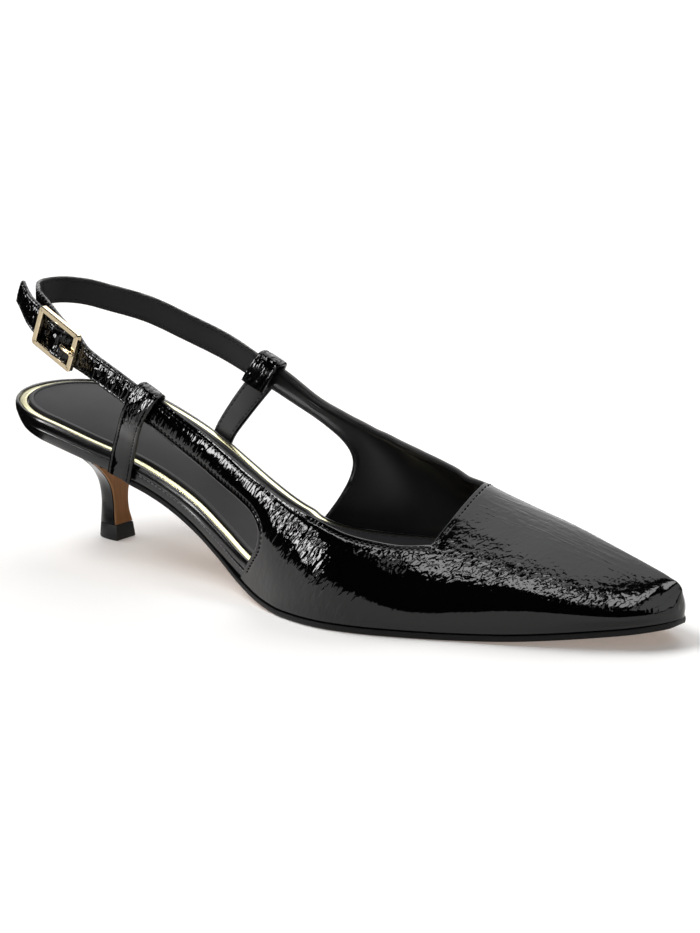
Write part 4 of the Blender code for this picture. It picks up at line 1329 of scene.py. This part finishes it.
bar_points = [in_buckle(CENTRE_BAR / 2 * cos(a), across, CENTRE_BAR / 2 * sin(a) - CENTRE_BAR_DROP)
              for across in (-bar_reach, bar_reach) for a in turns(ROD_SIDES)]
start = rings.shape[0] * rings.shape[1]
faces += grid_faces(2, ROD_SIDES, start=start, ring=True) + end_faces(2, ROD_SIDES, start)
buckle = add_piece("buckle_gilt", list(rings.reshape(-1, 3)) + bar_points, faces, ["gilt_zinc"], sharp=30)
attach(buckle, "buckle_frame")

# %% [markdown]
# The prong comes up through a hole of the strap and rests on the front bar. Only that end shows, so it is
# a short rod, a little flattened, that tapers at its tip.

# %% Prong
PRONG_FLATNESS = 0.8
PRONG_STEPS = 24
PRONG = path_run([  # along, across, out, radius
    (4.0, 0.0, 1.2, 0.8),
    (5.0, 0.0, 1.7, 0.95),
    (6.5, 0.0, 1.95, 0.98),
    (8.8, 0.0, 1.95, 0.95),
    (10.0, 0.0, 1.8, 0.85),
    (10.6, 0.0, 1.5, 0.45),
], PRONG_STEPS)
rings = [[in_buckle(along, r * cos(a), out + PRONG_FLATNESS * r * sin(a)) for a in turns(ROD_SIDES)]
         for along, _, out, r in PRONG]
prong = loft("prong_gilt", rings, "gilt_zinc")
attach(prong, "buckle_prong")

# %% [markdown]
# Stitches repeat thousands of times along their rows, so a geometry tree makes them: each row becomes a
# curve, points are set on it one stitch apart, and a small thread bead turned along the row is placed
# on every point. The tree's sizes are named inputs, and the result is turned into a plain mesh.

# %% Stitches
PITCH = 1.75
STITCH_LENGTH = 1.35


def geometry_tree(name, inputs):
    """Empty geometry tree with named inputs; returns it with its input and output nodes."""
    made = bpy.data.node_groups.new(name, "GeometryNodeTree")
    made.is_modifier = True
    made.interface.new_socket("Geometry", in_out="OUTPUT", socket_type="NodeSocketGeometry")
    made.interface.new_socket("Geometry", in_out="INPUT", socket_type="NodeSocketGeometry")
    for socket, kind in inputs.items():
        made.interface.new_socket(socket, in_out="INPUT", socket_type=kind)
    return made, node(made, "NodeGroupInput").outputs, node(made, "NodeGroupOutput")


def place_and_realize(tree, given, result, points, shape, turn):
    """Ends a tree: the shape stands on every point, becomes real mesh and gets its material."""
    placed = node(tree, "GeometryNodeInstanceOnPoints", {"Points": points, "Instance": shape,
                                                         "Rotation": turn})
    real = node(tree, "GeometryNodeRealizeInstances", {"Geometry": placed.outputs[0]})
    soft = node(tree, "GeometryNodeSetShadeSmooth", {"Geometry": real.outputs[0]})
    done = node(tree, "GeometryNodeSetMaterial", {"Geometry": soft.outputs[0],
                                                  "Material": given["Material"]})
    tree.links.new(done.outputs[0], result.inputs[0])


def run_tree(name, mesh, tree, values):
    """Runs a geometry tree on a mesh and returns the plain result as an object."""
    made = put(name, mesh)
    step = made.modifiers.new(tree.name, "NODES")
    step.node_group = tree
    for item in tree.interface.items_tree:
        if item.in_out == "INPUT" and item.name in values:
            step[item.identifier] = values[item.name]
    return bake(made)


tree, given, result = geometry_tree("stitch_row", {"Pitch": "NodeSocketFloat", "Length": "NodeSocketFloat",
                                                   "Thread": "NodeSocketFloat",
                                                   "Material": "NodeSocketMaterial"})
curve = node(tree, "GeometryNodeMeshToCurve", {"Mesh": given["Geometry"]})
steps = node(tree, "GeometryNodeResampleCurve", {"Curve": curve.outputs[0], "Length": given["Pitch"]},
             mode="LENGTH")
bead = node(tree, "GeometryNodeMeshUVSphere", {"Segments": 6, "Rings": 4, "Radius": 1.0})
size = node(tree, "ShaderNodeCombineXYZ", {"X": given["Length"], "Y": given["Thread"],
                                           "Z": given["Thread"]})
thread = node(tree, "GeometryNodeTransform", {"Geometry": bead.outputs["Mesh"], "Scale": size.outputs[0]})
tangent = node(tree, "GeometryNodeInputTangent").outputs[0]
turn = node(tree, "FunctionNodeAlignRotationToVector", {"Vector": tangent}, axis="X")
place_and_realize(tree, given, result, steps.outputs[0], thread.outputs[0], turn.outputs[0])

# The rand's row gets the pale thread, which is painted highlight for the glints along its seam.
for name, rows, thread in (("stitches", stitch_rows, "black_thread"),
                           ("rand_stitches", rand_rows, "grey_waxed_thread")):
    points = []
    edges = []
    for row in rows:
        start = len(points)
        points += to_frame(row)
        edges += [(start + i, start + i + 1) for i in range(len(row) - 1)]
    mesh = bpy.data.meshes.new(name)
    mesh.from_pydata(points, edges, [])
    stitches = run_tree(name, mesh, tree, {"Pitch": PITCH * MM, "Length": STITCH_LENGTH / 2 * MM,
                                           "Thread": THREAD * MM, "Material": bpy.data.materials[thread]})
    attach(stitches, None)

# %% [markdown]
# The strap has punched holes. The same kind of tree serves: on every point stands a ring, turned to the
# face of the strap. A thin round ring makes the pressed rim, and a wide flat dark one lying on the face
# is painted shade that stands for the depth of the hole.

# %% Strap holes
HOLE_PLACES = (20.4, 30.4, 50.2)
HOLE_RADIUS = 0.95
HOLE_LIFT = 0.9
HOLE_RINGS = [  # name, radius, half of the rim, flatness, material
    ("hole_rims", HOLE_RADIUS, 0.17, 1.0, "crinkled_patent_leather"),
    # painted shade: a flat dark disc on the face stands for the shaded depth of the hole
    ("hole_grounds", HOLE_RADIUS * 0.5, HOLE_RADIUS * 0.48, 0.1, "black_edge_paint"),
]
tree, given, result = geometry_tree("strap_hole", {"Radius": "NodeSocketFloat", "Rim": "NodeSocketFloat",
                                                   "Flatness": "NodeSocketFloat",
                                                   "Material": "NodeSocketMaterial"})
circle = node(tree, "GeometryNodeCurvePrimitiveCircle", {"Resolution": 24, "Radius": given["Radius"]})
bead = node(tree, "GeometryNodeCurvePrimitiveCircle", {"Resolution": 10, "Radius": given["Rim"]})
ring = node(tree, "GeometryNodeCurveToMesh", {"Curve": circle.outputs[0], "Profile Curve": bead.outputs[0]})
size = node(tree, "ShaderNodeCombineXYZ", {"X": 1.0, "Y": 1.0, "Z": given["Flatness"]})
ring = node(tree, "GeometryNodeTransform", {"Geometry": ring.outputs[0], "Scale": size.outputs[0]})
facing = node(tree, "GeometryNodeInputNamedAttribute", {"Name": "facing"}, data_type="FLOAT_VECTOR")
turn = node(tree, "FunctionNodeAlignRotationToVector", {"Vector": facing.outputs[0]}, axis="Z")
place_and_realize(tree, given, result, given["Geometry"], ring.outputs[0], turn.outputs[0])

middle = buckle_run[:, :3]
out = frames(middle, upright(middle, buckle_run[:, 3]))[1]
steps = np.searchsorted(lengths(middle), HOLE_PLACES)
for name, radius, rim, flatness, material in HOLE_RINGS:
    mesh = bpy.data.meshes.new(name)
    mesh.from_pydata(to_frame(middle[steps] + out[steps] * HOLE_LIFT), [], [])
    turned = mesh.attributes.new("facing", "FLOAT_VECTOR", "POINT")
    turned.data.foreach_set("vector", out[steps].astype(np.float32).ravel())
    holes = run_tree(name, mesh, tree, {"Radius": radius * MM, "Rim": rim * MM, "Flatness": flatness,
                                        "Material": bpy.data.materials[material]})
    attach(holes, None)

# %% [markdown]
# The floor is a pale light table: it glows a little, so the shadow under the shoe stays soft and the
# low side of the leather mirrors it. The gloss sees only the small table, not the wide floor.

# %% Floor
FLOOR_REACH = 5.0
FLOOR_DROP = -0.0002
TABLE_DROP = -0.0001
TABLE_LOW = (-0.155, -0.6)
TABLE_HIGH = (0.6, 0.6)


def slab(name, low, high, height):
    """Flat rectangle of floor."""
    mesh = bpy.data.meshes.new(name)
    mesh.from_pydata([(low[0], low[1], height), (high[0], low[1], height), (high[0], high[1], height),
                      (low[0], high[1], height)], [], [(0, 1, 2, 3)])
    mesh.materials.append(bpy.data.materials["pale_floor"])
    made = put(name, mesh)
    return made


finish("pale_floor", "#f4f2f0", 0.7, Emission_Strength=0.18, Emission_Color=linear("#ffffff"))
floor = slab("floor", (-FLOOR_REACH,) * 2, (FLOOR_REACH,) * 2, FLOOR_DROP)
floor.visible_glossy = False
slab("table", TABLE_LOW, TABLE_HIGH, TABLE_DROP)
print("table", TABLE_LOW, TABLE_HIGH)

# %% [markdown]
# Three wide suns give the soft light and shadow, and the gloss doesn't see them. What the patent
# mirrors is a set of soft boxes that only the gloss sees: a row of them above and behind, brighter
# further back, for the top of the toe, and narrow strips at the left for the glints on the shoulder
# and the strap. One card lights the buckle alone, and one box the straps alone. The room is dark, and
# that is what makes the rest of the patent look black.

# %% Light
AIM_HEIGHT = 0.03
BOX_HEIGHT = 1.1
SUNS = [  # name, place, power, angle
    ("day", (-1.0, -0.3, 1.5), 2.6, 38),
    ("back_day", (-0.4, 0.9, 1.1), 0.8, 40),
    ("fill", (0.5, -1.2, 0.8), 0.4, 60),
]
OVER_EDGES = (0.16, 0.42, 0.62, 0.82, 1.05, 2.05)
OVER_GLOWS = (1.9, 2.3, 2.8, 3.3, 3.7)
OVER_WIDTH = 2.6
BOXES = [("over_box", (0.0, (start + end) / 2, BOX_HEIGHT), OVER_WIDTH, end - start, glow, 0)
         for start, end, glow in zip(OVER_EDGES, OVER_EDGES[1:], OVER_GLOWS)]
BOXES += [  # name, place, width, depth, glow, turn of a level box (None: it faces the shoe)
    ("shoulder_strip", (-0.08, -0.09, BOX_HEIGHT), 0.6, 0.22, 6.6, 8),
    ("left_strip", (-0.92, -1.07, 0.55), 0.24, 0.62, 20.0, None),
    ("high_left_strip", (-0.655, -0.9, 1.0), 0.16, 0.36, 14.0, None),
    ("toe_panel", (0.95, -0.22, BOX_HEIGHT), 1.1, 0.4, 1.5, 0),
    ("right_panel", (1.5, 0.1, 0.55), 1.1, 0.9, 1.5, None),
    ("back_panel", (-1.35, 1.65, 0.5), 2.6, 0.9, 1.1, None),
    ("buckle_card", (-0.75, -0.75, 0.05), 1.2, 0.8, 0.8, None),
    ("strap_glint", (-1.14, -0.89, 0.2), 0.4, 0.5, 20.0, None),
]
LIT_ALONE = {"buckle_card": (buckle, prong), "strap_glint": straps}


def lamp(name, kind, place, power, **settings):
    """Light that faces the shoe."""
    made = put(name, bpy.data.lights.new(name, kind))
    made.data.energy = power
    for setting, value in settings.items():
        setattr(made.data, setting, value)
    made.location = place
    made.rotation_euler = (Vector((0, 0, AIM_HEIGHT)) - Vector(place)).to_track_quat("-Z", "Y").to_euler()
    return made


def soft_box(name, place, width, depth, glow):
    """Rectangular soft box with a glow (radiance), seen by the gloss alone."""
    power = glow * pi * width * depth
    made = lamp(name, "AREA", place, power, shape="RECTANGLE", size=width, size_y=depth)
    made.visible_diffuse = False
    return made


for name, place, power, angle in SUNS:
    lamp(name, "SUN", place, power, angle=radians(angle)).visible_glossy = False
for name, place, width, depth, glow, turn in BOXES:
    box = soft_box(name, place, width, depth, glow)
    if turn is not None:
        box.rotation_euler = (0, 0, radians(turn))
    if name in LIT_ALONE:
        lit = bpy.data.collections.new(name + "_lights")
        for piece in LIT_ALONE[name]:
            lit.objects.link(piece)
        box.light_linking.receiver_collection = lit
world = bpy.data.worlds.new("studio")
world.use_nodes = True
world.node_tree.nodes["Background"].inputs["Color"].default_value = linear("#161616")
world.node_tree.nodes["Background"].inputs["Strength"].default_value = 1.0
bpy.context.scene.world = world
bpy.context.scene.view_settings.view_transform = "Standard"
print("suns", len(SUNS), "soft boxes", len(BOXES))

# %% [markdown]
# The camera stands where the one of the photograph stood. Its angles and its focal length in pixels
# were solved from points of the shoe, and the shift of the lens puts the shoe in its place.

# %% Camera
PICTURE = (700, 933)
AZIMUTH = radians(38.91)
ELEVATION = radians(13.96)
ROLL = radians(-1.02)
FOCAL_PX = 3362.68
PX_PER_MM = 3.09
AIM = Vector((130.0, 0.0, 40.0))
AIM_PX = (-20.34, -5.27)
SENSOR = 36.0
right = Vector((cos(AZIMUTH), sin(AZIMUTH), 0))
back = Vector((sin(AZIMUTH) * cos(ELEVATION), -cos(AZIMUTH) * cos(ELEVATION), sin(ELEVATION)))
up = back.cross(right)
across = right * cos(ROLL) + up * sin(ROLL)
upward = up * cos(ROLL) - right * sin(ROLL)
lens = bpy.data.cameras.new("camera")
lens.sensor_width = SENSOR
lens.lens = FOCAL_PX * SENSOR / max(PICTURE)
lens.shift_x = -AIM_PX[0] / max(PICTURE)
lens.shift_y = AIM_PX[1] / max(PICTURE)
lens.clip_start = 0.01
camera = put("camera", lens)
stand = (AIM + TO_FRAME + back * (FOCAL_PX / PX_PER_MM)) * MM
turn = Matrix((across, upward, back)).transposed().to_4x4()
camera.matrix_world = Matrix.Translation(stand) @ turn
bpy.context.scene.camera = camera
print("camera", [round(c, 3) for c in stand], "lens", round(lens.lens, 1), "mm")
